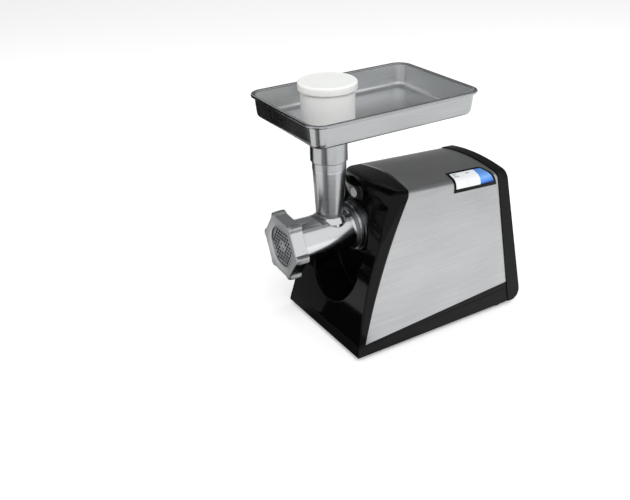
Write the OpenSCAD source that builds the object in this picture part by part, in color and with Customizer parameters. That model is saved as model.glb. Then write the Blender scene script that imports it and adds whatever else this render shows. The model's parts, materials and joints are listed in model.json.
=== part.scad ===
// Countertop electric meat grinder: a pedestal housing with a wrapped steel cover, a two-stage
// spur gearbox over a universal motor, a twist-lock grinding head, a hopper tray and a pusher.
// Millimetres, +Z up, front towards -Y. The origin lies on the table, midway along the machine.
// Shapes are drawn from the housing's front foot edge (y = 0) and moved to the origin by stand().

/* [Housing] */
// Width of the housing at its foot
foot_w = 215; // [208:1:222]
// Width of the housing at the height of its top, before the long edges are rounded
top_w = 144.7; // [140:0.1:150]
// Height of the top, at mid-width where the steel cover begins
top_z = 256.5; // [254:0.5:260]
// Radius of the crown across the top
crown_r = 337; // [300:1:400]
// Fall of the top towards the rear, in degrees
top_fall = 3.4; // [3:0.1:4.5]
// Radius of the long top edges
edge_r = 15; // [12:1:17]
// Depth of the housing, front foot edge to rearmost point
body_len = 331; // [328:1:340]
// Radius of the bowed front, seen from the side
bow_r = 572; // [540:1:620]
// How far the front leans back at the height of the top edge
front_lean = 92; // [88:1:96]
// Wall of the moulded shells
wall = 3; // [2.5:0.1:3.4]
// Thickness of the steel cover
steel_t = 1; // [0.8:0.1:1.2]
// Height of the feet
foot_h = 8; // [6:0.5:10]
// Radius of the feet
foot_r = 12; // [10:0.5:14]

/* [Front housing] */
// Width of the black side band at its foot
band_foot = 12; // [10:1:14]
// Width of the black side band at its top
band_top = 22; // [20:1:24]
// Depth of the flat pad above the socket, behind the front foot edge
pad_y = 64; // [63:0.5:65]
// Plan radius of the drum that the pad is part of
drum_r = 130; // [120:1:140]
// Rounding of the front top edge
brow_r = 20; // [16:1:22]
// Radius of the low end of the bowl recess
bowl_r = 60; // [57:1:62]
// Height of the centre of the recess's low end
bowl_z = 121; // [119:1:124]
// Radius of the recess round the socket
bowl_top_r = 44; // [44:0.5:46]

/* [Rear cover] */
// How far the rear cover stands proud of the steel
rear_proud = 1.5; // [1:0.1:2]
// Depth of the rear cover at its foot
rear_depth = 25; // [23:1:30]
// Rounding of the rear foot edge
rear_foot_r = 18; // [14:1:20]
// Radius of the cord's passage through the gland
cord_r = 3.6; // [3.2:0.1:4]

/* [Drive] */
// Height of the grinding axis above the table
axis_z = 179; // [178:0.5:180]
// Module of the slow gear pair
slow_m = 1.5; // [1.4:0.05:1.5]
// Module of the fast gear pair
fast_m = 1; // [0.9:0.05:1]
// Length of the motor's iron stack
stack_len = 60; // [50:1:65]
// Across-flats size of the motor's iron
stator_w = 84; // [78:1:84]
// Across-flats size of the auger's drive square
drive_sq = 11; // [10:0.5:12]

/* [Grinding head] */
// Diameter of the cutting plate
plate_d = 70; // [68:0.5:70]
// Thickness of the cutting plate
plate_t = 8; // [7:0.5:9]
// Diameter of the holes in the cutting plate
hole_d = 5; // [4:0.5:5.5]
// Reach of the ring nut in front of the foot edge
nut_reach = 75; // [74:0.5:78]
// Radius of the ring nut over its lugs
nut_r = 54; // [52:1:56]
// Length of the ring nut
nut_len = 21.5; // [21:0.5:24]
// Lead of the ring nut's thread
nut_lead = 3; // [2:0.5:4]
// Radius of the ring nut's mouth
mouth_r = 31.5; // [30:0.5:32]
// Radius of the spigot that enters the socket
spigot_r = 32; // [31:0.5:32]
// Distance of the throat behind the front foot edge
throat_y = 15; // [10:1:18]
// Outer radius of the throat's upper end
throat_r = 26; // [25.5:0.5:27]

/* [Hopper and pusher] */
// Width of the tray over its rim
tray_w = 203; // [190:1:215]
// Length of the tray over its rim
tray_l = 292; // [270:1:310]
// Height of the tray's floor above the table
tray_z = 358; // [352:1:364]
// Depth of the tray, floor to rim
tray_h = 38; // [34:1:44]
// Distance of the tray's middle behind the throat
tray_shift = 62.5; // [50:0.5:70]
// Radius of the pusher's cup
cup_r = 40; // [38:0.5:42]
// Height of the pusher's cup
cup_h = 62; // [58:1:66]
// Radius of the pusher's stem
stem_r = 17.6; // [16:0.1:17.8]

/* [Controls] */
// Distance from the switch panel to the rear cover
panel_gap = 19; // [17:1:30]
// Length of the switch panel
panel_len = 87; // [80:1:88]
// Travel of a switch button
key_travel = 2; // [1.5:0.1:2]
// Radius of the head's lock button
lock_r = 7.8; // [7:0.1:8]
// Travel of the lock button
lock_travel = 3.5; // [3.3:0.1:3.6]

/* [Hidden] */
$fn = 72;

// Clearances
fit = 0.2;       // parts that are assembled and stay put
seam = 0.3;      // visible joints between housing pieces
run = 0.05;      // shafts in their bearings
loose = 0.3;     // parts that move past each other

// Colours
black = "#1b1c1e";
soft_black = "#2a2b2d";
steel = "#b9bbbd";
alloy = "#a9abae";
copper = "#b06a3a";
white = "#f3f3f1";

// Housing outline, seen from the front
side_slope = (foot_w - top_w) / 2 / (top_z - foot_h);
side_q = sqrt(1 + pow(side_slope, 2));
function half_w(z) = foot_w / 2 - side_slope * (z - foot_h);
// the long edges' centre: edge_r inside both the side and the crown, whose centre is at crown_z
crown_z = top_z - crown_r;
corner_z = let (
    a = foot_w / 2 + side_slope * foot_h - edge_r * side_q,
    b = a * side_slope + crown_z,
    c = a * a + crown_z * crown_z - pow(crown_r - edge_r, 2)
) (b + sqrt(b * b - side_q * side_q * c)) / pow(side_q, 2);
corner_x = half_w(corner_z) - edge_r * side_q;
corner_a = atan2(corner_z - crown_z, corner_x);

// Side view: an arc of radius r through two points (y, z), bulging towards the front
function arc_centre(a, b, r) =
    let (m = (a + b) / 2, d = b - a, h = norm(d), k = sqrt(r * r - h * h / 4))
    m + k * [d[1], -d[0]] / h;
brow_z = 240;                                   // height at which the front's lean is measured
front_bulge = 5;                                // of the arc in front of the lean's two points
bow_c = arc_centre([-front_bulge, foot_h], [front_lean - front_bulge, brow_z], bow_r);
function front_y(z) = bow_c[0] - sqrt(pow(bow_r, 2) - pow(z - bow_c[1], 2));

// Seam between the base and what stands on it
seam_z = 25.9;
seam_rise = 0.062;
function seam_at(y) = seam_z + seam_rise * y;

// Front edge of the steel cover on the sides, and its arch across the top
band_r = 992;
band_c = arc_centre([front_y(seam_z) + band_foot, seam_z], [front_y(brow_z) + band_top, brow_z], band_r);
band_top_y = front_y(brow_z) + band_top;
arch_rise = 12;
arch_half = half_w(brow_z) - 3;
arch_r = (pow(arch_half, 2) + pow(arch_rise, 2)) / 2 / arch_rise;
arch_c = band_top_y + arch_rise - arch_r;
arch_z = brow_z - 3;

// Rear: seam with the steel cover, and the outer face
seam_lean = 0.0714;
rear_lean = 0.1044;
rear_seam = body_len - rear_depth;
function rear_seam_at(z) = rear_seam - seam_lean * (z - foot_h);
rear_c = [body_len - rear_foot_r, foot_h + rear_foot_r];
rear_q = sqrt(1 + pow(rear_lean, 2));
function rear_y(z) = rear_c[0] + rear_foot_r * rear_q - rear_lean * (z - rear_c[1]);

// Stations along the drive, measured from the front foot edge
floor_y = pad_y + 2;                            // floor of the bowl recess
floor_t = 3.5;
flange_back = pad_y - 7;                        // rear face of the head's flange
flange_front = flange_back - 7;
socket_front = flange_back + loose;
socket_r = spigot_r + 8;
socket_flange = floor_y + floor_t;
socket_flange_r = socket_r + 8;
flange_t = 5;
flange_top = 18;                                // the flange stops below the pad's wall
spigot_end = flange_back + 28;
cup_back = spigot_end + 1;                      // back wall of the socket
cup_step = 4;                                   // thicker rear end of the socket
gear_front = cup_back + 8;                      // front face of the gearbox
plate_wall = 6;
slow_y = gear_front + plate_wall + 10;          // front face of the slow pair
slow_w = 18;
fast_y = slow_y + slow_w + 4;
fast_w = 10;
gear_rear = fast_y + fast_w + 4;                // front face of the rear gearbox plate
rear_plate = 8;
plate_end = gear_rear + rear_plate;
stator_y = plate_end + 12;
stator_end = stator_y + stack_len;
comm_y = stator_end + 12;
comm_w = 14;
fan_y = comm_y + comm_w + 3;
fan_w = 11;
bracket_y = fan_y + fan_w + 3;
bracket_t = 7;
bracket_end = bracket_y + bracket_t;
rotor_end = bracket_end + 1;

// Gears: 25 degree pressure angle, so that twelve teeth need no undercut
pressure = 25;
pinion_n = 12;
slow_n = 72;
fast_n = 84;
backlash = 0.12;
lay_z = axis_z - slow_m * (pinion_n + slow_n) / 2;
motor_z = lay_z - fast_m * (pinion_n + fast_n) / 2;
slow_tip = slow_m * (slow_n / 2 + 1);
gearcase_top = slow_tip + 5.5;
gearcase_low_r = 46;
gearcase_low_z = lay_z - 32;
case_wall = 3;
lobe_r = 5.5;                                   // screw lobes round the gearbox
screw_r = 2;
screw_reach = 14;
stud_x = stator_w / 2 - 7;
studs = [for (x = [-1, 1], z = [-1, 1]) stud_x * [x, z]];   // about the motor's axis
case_screws = concat(
    [for (a = [35, 145]) [gearcase_top * cos(a), axis_z + gearcase_top * sin(a)]],
    [for (a = [-10, 190]) [gearcase_low_r * cos(a), gearcase_low_z + gearcase_low_r * sin(a)]]
);

// Grinding head
bore_front = 31;
bore_rear = 26.5;
screw_lead = 38;
barrel_front = 35.2;
barrel_mid = 33.4;                              // at the front foot edge
barrel_rear = 30.8;
flange_r = 38;
nut_front = -nut_reach;
lip_t = 3.5;
plate_front = nut_front + lip_t;
plate_back = plate_front + plate_t;
knife_t = 5.6;
knife_front = plate_back + 0.1;
knife_back = knife_front + knife_t;
mouth_face = plate_back - 4.5;
mouth_or = plate_d / 2 + 5.8;
nut_end = nut_front + nut_len;
bore_start = knife_back + 1.2;
auger_front = knife_back + 0.1;
auger_end = flange_front - 2;
bush_t = 1.8;
journal_r = 10;
pin_r = 5.4;
stud_sq = 9.5;

// Throat, tray and pusher
throat_top = tray_z - 0.2;
throat_foot_r = throat_r - 4.5;
throat_mid = tray_z - 62;
throat_bore_r = throat_r - 3.5;
stem_gap = 0.6;
throat_bore_low = stem_r + stem_gap;
throat_step = 31;                               // where the throat starts to widen, above the axis
neck_t = 2.7;
neck_r = throat_r + neck_t;
neck_len = 56;
tray_y = throat_y + tray_shift;
rim_r = 3;
sheet = 1;
corner_out = 24;
tray_rim_z = tray_z + tray_h;
cup_wall = 2.5;
cup_z = tray_z + sheet;
lid_skirt = 12;
lid_r = cup_r + 3.7;
stem_end = axis_z + throat_step + 6;

// Lock, on a line from the grinding axis through the button
lock_x = -7;
lock_z = axis_z + 53;
lock_ring = norm([lock_x, lock_z - axis_z]);
lock_angle = atan2(lock_x, lock_z - axis_z);
lock_stem_r = 3;
lock_pin_r = 1.7;
lock_pin_ring = spigot_r + lock_pin_r + 1.4;
function on_lock_line(r) = [r * sin(lock_angle), axis_z + r * cos(lock_angle)];
lock_pin = on_lock_line(lock_pin_ring);
latch_y = socket_flange + flange_t + 1.5;
latch_t = 3;
latch_w = 9;
lock_face = pad_y - 1.2;
twist = 35;                                     // head's turn from locked to free

// Switch panel, across the right-hand top edge; u runs down its slope, n points outwards
panel_y = rear_seam - panel_gap - panel_len;
panel_lean = (90 - atan(side_slope)) / 2;
key_u = -4;                                     // middle of the keys on the slope
plunger_r = 3;
panel_u0 = -23.5;
panel_u1 = 14.5;
frame_w = 3.5;
panel_slant = 12;                               // of the rear end
panel_skew = 5;                                 // of the front end and of the splits between keys
panel_round = 8;
key_gap = 0.35;
keys = 3;
key_split = [0, 0.3, 0.625, 1];                 // ends of the keys, as shares of the frame's inside
key_run = panel_len - 2 * frame_w;
function skew_at(u) = panel_skew * (panel_u1 - u) / (panel_u1 - panel_u0);
panel_tray = -6;                                // depth of the bezel's floor
key_n = -3.5;                                   // depth of the keys' lower faces
block_w = 25;
block_h = 16;

// Middle of the machine's length
mid_y = (body_len - nut_reach) / 2;

// ---- helpers ----
// points along an arc round c, in n steps
function arc(c, r, a0, a1, n) = [for (i = [0:n]) let (a = a0 + (a1 - a0) * i / n) c + r * [cos(a), sin(a)]];
module stand() translate([0, -mid_y, 0]) children();
module along_x(x0, x1) translate([x0, 0, 0]) rotate([90, 0, 90]) linear_extrude(x1 - x0) children();
module along_y(y0, y1) translate([0, y1, 0]) rotate([90, 0, 0]) linear_extrude(y1 - y0) children();
// a body of revolution about a line along Y at height z; the profile is (radius, y)
module about_y(z, y = 0) translate([0, y, z]) rotate([-90, 0, 0]) rotate_extrude() children();
// a sector of such a body between two angles, counted from upright towards +X
module sector_y(z, a0, a1) translate([0, 0, z]) rotate([-90, 0, 0]) rotate([0, 0, a0 - 90])
    rotate_extrude(angle = a1 - a0) children();
module rod_y(r, y0, y1, x = 0, z = 0) translate([x, y0, z]) rotate([-90, 0, 0]) cylinder(r = r, h = y1 - y0);
module ring_y(r_in, r_out, y0, y1, x = 0, z = 0) {
    translate([x, 0, z]) along_y(y0, y1) difference() {
        circle(r_out);
        circle(r_in);
    }
}
module block(x0, x1, y0, y1, z0, z1) translate([x0, y0, z0]) cube([x1 - x0, y1 - y0, z1 - z0]);
// two circles one above the other, joined by their outer tangents
module egg(z0, r0, z1, r1) {
    a = asin((r0 - r1) / (z1 - z0));
    polygon(concat(arc([0, z1], r1, a, 180 - a, 30), arc([0, z0], r0, 180 - a, 360 + a, 44)));
}

// ---- housing forms ----
module tilted() translate([0, band_top_y, top_z]) rotate([-top_fall, 0, 0])
    translate([0, -band_top_y, -top_z]) children();
module outline(inset) {
    low = -20 - inset;
    foot = half_w(low) - inset * side_q;
    right = arc([corner_x, corner_z], edge_r - inset, atan(side_slope), corner_a, 9);
    crown = arc([0, crown_z], crown_r - inset, corner_a, 180 - corner_a, 14);
    inner = [for (i = [1:len(crown) - 2]) crown[i]];
    left = [for (i = [len(right) - 1:-1:0]) [-right[i][0], right[i][1]]];
    polygon(concat([[-foot, low], [foot, low]], right, inner, left));
}
module body_form(inset) tilted() along_y(-60 - inset, body_len + 20 + inset) outline(inset);
// region behind an arc that bulges forwards, drawn on the side view
module behind_arc(c, r) intersection() {
    translate(c) circle(r, $fn = 360);
    translate([-90, -40]) square([body_len + 130, top_z + 90]);
}
module front_form(inset) {
    along_x(-foot_w, foot_w) behind_arc(bow_c, bow_r - inset);
    translate([0, pad_y + drum_r, 0]) rotate_extrude() {
        r = drum_r - inset;
        z = top_z + 2 - inset;
        drum_z = axis_z + 6;
        translate([0, drum_z]) square([r, z - brow_r - drum_z]);
        translate([0, z - brow_r - 1]) square([r - brow_r, brow_r + 1]);
        translate([r - brow_r, z - brow_r]) circle(brow_r);
    }
}
module above_seam() along_x(-foot_w, foot_w)
    polygon([[-80, seam_at(-80)], [400, seam_at(400)], [400, 400], [-80, 400]]);
module behind_band(grow) along_x(-foot_w, foot_w) behind_arc(band_c, band_r + grow);
module arch(grow) translate([0, arch_c, arch_z]) cylinder(r = arch_r + grow, h = 60, $fn = 180);
module before_rear(grow) {
    far = 60;
    along_x(-foot_w, foot_w) polygon([
        [-100, foot_h - far], [rear_seam_at(foot_h - far) + grow, foot_h - far],
        [rear_seam_at(top_z + far) + grow, top_z + far], [-100, top_z + far]
    ]);
}

// ---- housing pieces ----
module base_form(inset) {
    intersection() {
        body_form(inset);
        along_x(-foot_w, foot_w) behind_arc(bow_c, bow_r - inset);
        block(-foot_w, foot_w, -50, body_len, foot_h + inset, top_z);
    }
}
foot_x = foot_w / 2 - 20;
foot_ys = [foot_r + 6, rear_seam - foot_r - 4];
foot_core = foot_r - 2;                         // part of a foot that enters the base
foot_sink = 1.5;
foot_screw_r = 1.6;
groove_z = 24.5;
groove_rise = 1.8;                              // of the shadow line, in degrees
groove_deep = 0.6;
gear_ribs = [gear_front + 8, gear_rear - 8];
motor_ribs = [stator_y + 12, stator_end - 16];
rib_t = 4;
slot_rows = [[motor_ribs[0] + rib_t + 3, motor_ribs[1] - 3], [motor_ribs[1] + rib_t + 3, fan_y + fan_w]];
tongue_t = 2;
tongue_h = 9;
module base() color(black) stand() {
    difference() {
        intersection() {
            union() {
                difference() {
                    base_form(0);
                    above_seam();
                    base_form(wall);
                }
                // tongue behind the steel cover and the front housing
                intersection() {
                    difference() {
                        base_form(wall + fit);
                        base_form(wall + fit + tongue_t);
                        translate([0, 0, tongue_h]) above_seam();
                    }
                    block(-foot_w, foot_w, 20, body_len, foot_h, top_z);
                }
                // cradles of the gearbox and the motor
                for (y = gear_ribs) block(-50, 50, y, y + rib_t, foot_h + 1, gearcase_low_z - 20);
                for (y = motor_ribs)
                    block(-36, 36, y, y + rib_t, foot_h + 1, motor_z - stator_w / 2 - loose);
                // bosses over the feet
                for (x = [-foot_x, foot_x], y = foot_ys)
                    translate([x, y, foot_h + 1]) cylinder(r = foot_core - 1, h = 14);
            }
            before_rear(-seam);
        }
        rod_y(gearcase_low_r + loose, 0, body_len, 0, gearcase_low_z);
        // foot sockets and screw holes
        for (x = [-foot_x, foot_x], y = foot_ys) {
            translate([x, y, foot_h - 1]) cylinder(r = foot_core + fit, h = foot_sink + 1);
            translate([x, y, foot_h]) cylinder(r = foot_screw_r + 0.1, h = 20);
        }
        // cooling slots under the motor and the fan
        for (x = [-28:8:28], y = slot_rows)
            block(x - 1.5, x + 1.5, y[0], y[1], foot_h - 1, foot_h + wall + 1);
        // shadow line all round
        difference() {
            translate([0, 0, groove_z - 1]) rotate([groove_rise, 0, 0])
                block(-foot_w, foot_w, -60, body_len + 20, -groove_deep, groove_deep);
            body_form(groove_deep);
        }
    }
}
foot_head_r = 4;
foot_seat = 4;                                  // depth of the screw's recess
module feet() color(soft_black) stand()
    for (x = [-foot_x, foot_x], y = foot_ys) translate([x, y, 0]) difference() {
        union() {
            cylinder(r1 = foot_r - 1, r2 = foot_r, h = foot_h);
            cylinder(r = foot_core, h = foot_h + foot_sink);
        }
        translate([0, 0, -1]) cylinder(r = foot_head_r + fit, h = foot_seat + 1);
        cylinder(r = foot_screw_r + 0.3, h = foot_h + 2);
    }
module base_screws() color(steel) stand()
    for (x = [-foot_x, foot_x], y = foot_ys) translate([x, y, 0]) {
        translate([0, 0, foot_seat - 2.5]) cylinder(r = foot_head_r, h = 2.5);
        translate([0, 0, foot_seat - 1]) cylinder(r = foot_screw_r, h = foot_h + 10);
    }
module front_housing() color(black) stand() {
    difference() {
        union() {
            intersection() {
                difference() {
                    union() {
                        intersection() {
                            body_form(0);
                            difference() {
                                block(-foot_w, foot_w, -50, band_top_y + 60, 0, top_z + 40);
                                difference() {
                                    behind_band(seam);
                                    arch(-seam);
                                }
                            }
                        }
                        // tongue under the steel cover
                        intersection() {
                            body_form(steel_t + fit);
                            difference() {
                                behind_band(seam + 3);
                                behind_band(-7);
                            }
                        }
                    }
                    intersection() {
                        body_form(wall);
                        front_form(wall);
                    }
                }
                front_form(0);
                above_seam();
            }
            // tub of the bowl recess
            intersection() {
                along_y(-30, socket_flange) egg(bowl_z, bowl_r + wall, axis_z, bowl_top_r + wall);
                front_form(0);
                body_form(0);
                above_seam();
            }
        }
        along_y(-30, floor_y) egg(bowl_z, bowl_r, axis_z, bowl_top_r);
        rod_y(socket_r + fit, floor_y - 10, socket_flange + 2 * flange_t, 0, axis_z);
        rod_y(lock_r + loose, pad_y - 20, pad_y + 20, lock_x, lock_z);
    }
}
module steel_cover() color(steel) stand() {
    difference() {
        intersection() {
            difference() {
                body_form(0);
                body_form(steel_t);
            }
            behind_band(0);
            before_rear(-seam);
            above_seam();
        }
        arch(0);
        panel_slab(fit, -60, top_z);
    }
}
module rear_profile(inset) {
    r = rear_foot_r - inset;
    low = foot_h + inset;
    top = top_z + 20;
    edge = rear_c + r * [1, rear_lean] / rear_q;
    translate(rear_c) intersection() {
        circle(r);
        translate([0, -r]) square([r, 2 * r]);
    }
    polygon([
        [rear_seam_at(low), low], [rear_c[0], low], edge,
        [edge[0] - rear_lean * (top - edge[1]), top], [rear_seam_at(top), top]
    ]);
}
gland_z = foot_h + 38;
gland_shank = cord_r + 2.4;
gland_r = gland_shank + 3;
gland_lip = 3.6;
gland_in = 12;
gland_seat = rear_y(gland_z) - 3;
module rear_cover() color(soft_black) stand() {
    difference() {
        union() {
            difference() {
                intersection() {
                    body_form(-rear_proud);
                    along_x(-foot_w, foot_w) rear_profile(0);
                }
                intersection() {
                    body_form(wall);
                    along_x(-foot_w, foot_w) {
                        rear_profile(wall);
                        translate([-10, 0]) rear_profile(wall);
                    }
                }
            }
            // tongue under the steel cover
            intersection() {
                difference() {
                    body_form(steel_t + fit);
                    body_form(wall);
                }
                difference() {
                    before_rear(1);
                    before_rear(-8);
                }
                translate([0, 0, 10]) above_seam();
            }
            // seat of the cord gland
            intersection() {
                rod_y(gland_r + 4, gland_seat - 6, rear_y(gland_z) + 2, 0, gland_z);
                along_x(-foot_w, foot_w) rear_profile(0);
            }
        }
        panel_slab(fit, -60, top_z);
        rod_y(gland_r + fit, gland_seat, body_len + 5, 0, gland_z);
        rod_y(gland_shank + fit, gland_seat - 10, body_len, 0, gland_z);
        // cooling louvres
        for (z = [80:10:190], x = [-32, 32])
            block(x - 26, x + 26, rear_y(z) - 8, body_len + 10, z - 2, z + 2);
    }
}
module cord_gland() color(black) stand() difference() {
    union() {
        rod_y(gland_r, gland_seat, gland_seat + gland_lip, 0, gland_z);
        rod_y(gland_shank, gland_seat - gland_in, gland_seat + 1, 0, gland_z);
    }
    rod_y(cord_r, gland_seat - gland_in - 1, gland_seat + gland_lip + 1, 0, gland_z);
}

// ---- switch panel ----
module on_panel() tilted() translate([corner_x, 0, corner_z]) rotate([0, panel_lean, 0]) children();
// a slab across the corner, from depth n0 to n1, with slanted ends
module panel_slab(grow, n0, n1) on_panel() translate([0, 0, n0]) linear_extrude(n1 - n0) {
    rear = panel_y + panel_len + grow;
    slope = panel_slant / (panel_u1 - panel_u0);
    // centre of the rounded upper rear corner
    r = panel_round + grow;
    c = [panel_u0 - grow + r, rear - slope * (panel_u1 - panel_u0 - r + grow) - r * sqrt(1 + slope * slope)];
    polygon(concat(
        [[panel_u0 - grow, panel_y + skew_at(panel_u0) - grow], [panel_u1 + grow, panel_y - grow],
         [panel_u1 + grow, rear + slope * grow]],
        arc(c, r, 90 + atan(slope), 180, 8)
    ));
}
module switch_bezel() color(black) stand() difference() {
    intersection() {
        body_form(-1);
        panel_slab(0, panel_tray - 2, top_z);
    }
    panel_slab(-frame_w, panel_tray, top_z);
    for (i = [0:keys - 1]) key_hole(i, plunger_r + 0.4, panel_tray - 20, 20);
}
key_t = 2.4;
function key_y(i) = panel_y + frame_w + key_run * (key_split[i] + key_split[i + 1]) / 2
    + skew_at(key_u) - (i == keys - 1 ? 4 : 0);
module key_hole(i, r, n0, n1) on_panel() translate([key_u, key_y(i), n0]) cylinder(r = r, h = n1 - n0);
module key_band(i, gap) on_panel() translate([0, panel_y + frame_w, panel_tray - 20]) linear_extrude(60) {
    y0 = key_run * key_split[i] + gap;
    y1 = key_run * key_split[i + 1] - gap;
    u = 60;
    polygon([[-u, y0 + skew_at(-u)], [u, y0 + skew_at(u)], [u, y1 + skew_at(u)], [-u, y1 + skew_at(-u)]]);
}
module key(i, tint) color(tint) stand() {
    difference() {
        intersection() {
            body_form(-0.6);
            panel_slab(-frame_w - key_gap, key_n, top_z);
            key_band(i, key_gap / 2);
        }
        body_form(key_t);
    }
    // plunger
    intersection() {
        key_hole(i, plunger_r, panel_tray - 3.5, 20);
        body_form(key_t - 0.8);
    }
}
module button_reverse() key(0, white);
module button_off() key(1, white);
module button_on() key(2, "#2f6fd0");
module switch_block() color(soft_black) stand() difference() {
    on_panel() translate([key_u - block_w / 2, panel_y + panel_skew + 4, panel_tray - 2 - block_h])
        cube([block_w, panel_len - panel_slant - panel_skew - 12, block_h]);
    for (i = [0:keys - 1]) key_hole(i, plunger_r + 0.4, panel_tray - 7, 0);
}

// ---- socket, gearbox and bearings ----
lug_r = spigot_r + 4;
lug_y0 = flange_back + 17;
lug_y1 = lug_y0 + 5;
lug_a = 28;
coupling_r = 15;
coupling_y = lug_y0 - 8;
seal_r = 21;
// turned so that +Y runs from the grinding axis through the lock button
module on_latch() translate([0, axis_z]) rotate(-lock_angle) children();
module head_socket() color(alloy) stand() difference() {
    union() {
        rod_y(socket_r, socket_front, cup_back, 0, axis_z);
        intersection() {
            rod_y(socket_flange_r, socket_flange, socket_flange + flange_t, 0, axis_z);
            block(-foot_w, foot_w, 0, body_len, 0, axis_z + flange_top);
        }
        rod_y(socket_r + 2, cup_back - cup_step, gear_front, 0, axis_z);
    }
    rod_y(spigot_r + 0.1, socket_front - 1, cup_back, 0, axis_z);
    rod_y(coupling_r + 1, cup_back - 1, gear_front + 1, 0, axis_z);
    rod_y(seal_r, cup_back - 1, gear_front - 2, 0, axis_z);
    rod_y(lug_r + 0.4, lug_y0 - 0.4, lug_y1 + 0.4, 0, axis_z);
    for (a = [90, -90]) sector_y(axis_z, a + twist - lug_a / 2 - 2, a + twist + lug_a / 2 + 2)
        translate([spigot_r - 4, socket_front - 1])
            square([lug_r - spigot_r + 4.4, lug_y0 - socket_front + 2]);
    rod_y(lock_pin_r + loose, socket_front - 1, latch_y, lock_pin[0], lock_pin[1]);
    // slot in which the lock's latch travels
    along_y(latch_y - loose, latch_y + latch_t + lock_travel + loose)
        on_latch() translate([-latch_w / 2 - 0.4, spigot_r - 2])
            square([latch_w + 0.8, socket_r + 6 - spigot_r]);
}
module shaft_seal() color(soft_black) stand()
    ring_y(coupling_r + run, seal_r, cup_back, gear_front - 2, 0, axis_z);
module gear_case(inset) egg(gearcase_low_z, gearcase_low_r - inset, axis_z, gearcase_top - inset);
shaft_r = 8.5;
tail_r = 7.5;
lay_pin_r = 5;
lay_boss_r = 8;
front_race_r = 17.5;
tail_race_r = 16;
motor_race_r = 11;
race_lip = 1.5;
module gearbox_front() color(alloy) stand() difference() {
    union() {
        along_y(gear_front, gear_rear) difference() {
            union() {
                gear_case(0);
                for (p = case_screws) translate(p) circle(lobe_r);
            }
            gear_case(case_wall);
        }
        along_y(gear_front, gear_front + plate_wall) gear_case(0);
        rod_y(front_race_r + 3.5, gear_front, slow_y - 4, 0, axis_z);
        rod_y(lay_boss_r, gear_front, slow_y - 2, 0, lay_z);
    }
    rod_y(front_race_r, gear_front - 1, slow_y, 0, axis_z);
    rod_y(lay_pin_r, gear_front + 2, slow_y, 0, lay_z);
    for (p = case_screws) rod_y(screw_r + 0.1, gear_rear - screw_reach, gear_rear + 1, p[0], p[1]);
}
module gearbox_rear() color(alloy) stand() difference() {
    along_y(gear_rear, plate_end) {
        gear_case(0);
        for (p = case_screws) translate(p) circle(lobe_r);
        // motor mount
        translate([0, motor_z]) {
            square([2 * stud_x, 2 * (stud_x + lobe_r) - 2], center = true);
            square([2 * (stud_x + lobe_r) - 2, 2 * stud_x], center = true);
            for (p = studs) translate(p) circle(lobe_r);
        }
    }
    rod_y(tail_race_r, gear_rear - 1, plate_end - 2, 0, axis_z);
    rod_y(lay_pin_r, gear_rear - 1, plate_end - 2, 0, lay_z);
    rod_y(motor_race_r, gear_rear + race_lip, plate_end + 1, 0, motor_z);
    rod_y(motor_race_r - 3, gear_rear - 1, plate_end + 1, 0, motor_z);
    for (p = studs) rod_y(screw_r + 0.1, gear_rear - 1, plate_end + 1, p[0], motor_z + p[1]);
    for (p = case_screws) rod_y(screw_r + 0.1, gear_rear - 1, plate_end + 1, p[0], p[1]);
}
module gearbox_screws() color(steel) stand()
    for (p = case_screws) {
        rod_y(screw_r, gear_rear - screw_reach + 1, plate_end, p[0], p[1]);
        rod_y(screw_r + 1.6, plate_end, plate_end + 2.6, p[0], p[1]);
    }
module layshaft_pin() color(steel) stand() rod_y(lay_pin_r, gear_front + 2, plate_end - 2, 0, lay_z);
module bearing(r_in, r_out, y0, y1, z) {
    t = (r_out - r_in) / 4;
    ring_y(r_in, r_in + t, y0, y1, 0, z);
    ring_y(r_out - t, r_out, y0, y1, 0, z);
    ring_y(r_in + t, r_out - t, y0 + 1, y1 - 1, 0, z);
}
module output_bearings() color(steel) stand() {
    bearing(shaft_r + run, front_race_r, gear_front, gear_front + 12, axis_z);
    bearing(tail_r + run, tail_race_r, gear_rear - 1, plate_end - 2, axis_z);
}
rotor_r = 4;
module motor_bearings() color(steel) stand() {
    bearing(rotor_r + run, motor_race_r, gear_rear + race_lip, plate_end, motor_z);
    bearing(rotor_r + run, motor_race_r, bracket_y, bracket_y + bracket_t, motor_z);
}

// ---- motor ----
core_r = stator_w * 0.286;
coil_r = stator_w * 0.452;
fan_r = stator_w * 0.43;
module stator_outline() intersection() {
    square(stator_w, center = true);
    circle(stator_w * 0.6);
}
module motor_stator() color("#6d7073") stand() translate([0, 0, motor_z])
    along_y(stator_y, stator_end) difference() {
    stator_outline();
    circle(core_r + 0.6);
    for (s = [-1, 1]) translate([0, s * 22]) difference() {
        square([44, 16], center = true);
        translate([0, -s * 10]) square([26, 14], center = true);
    }
    for (p = studs) translate(p) circle(screw_r + 0.1);
}
module field_coils() color(copper) stand() translate([0, 0, motor_z])
    for (s = [-1, 1]) for (e = [[stator_y - 7, stator_y], [stator_end, stator_end + 7]])
        along_y(e[0], e[1]) intersection() {
            difference() {
                circle(coil_r);
                circle(core_r + 2);
            }
            translate([0, s * coil_r]) square([stator_w * 2 / 3, coil_r * 1.5], center = true);
        }
module motor_bracket() color(alloy) stand() difference() {
    union() {
        rod_y(motor_race_r + 4, bracket_y, bracket_end, 0, motor_z);
        // four arms out to the studs
        translate([0, 0, motor_z]) along_y(bracket_y, bracket_end) for (p = studs) {
            translate(p) circle(lobe_r);
            rotate(atan2(p[1], p[0])) translate([0, 1 - lobe_r]) square([norm(p), 2 * lobe_r - 2]);
        }
    }
    rod_y(motor_race_r, bracket_y - 1, bracket_end + 1, 0, motor_z);
    for (p = studs) rod_y(screw_r + 0.1, bracket_y - 1, bracket_end + 1, p[0], motor_z + p[1]);
}
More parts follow.
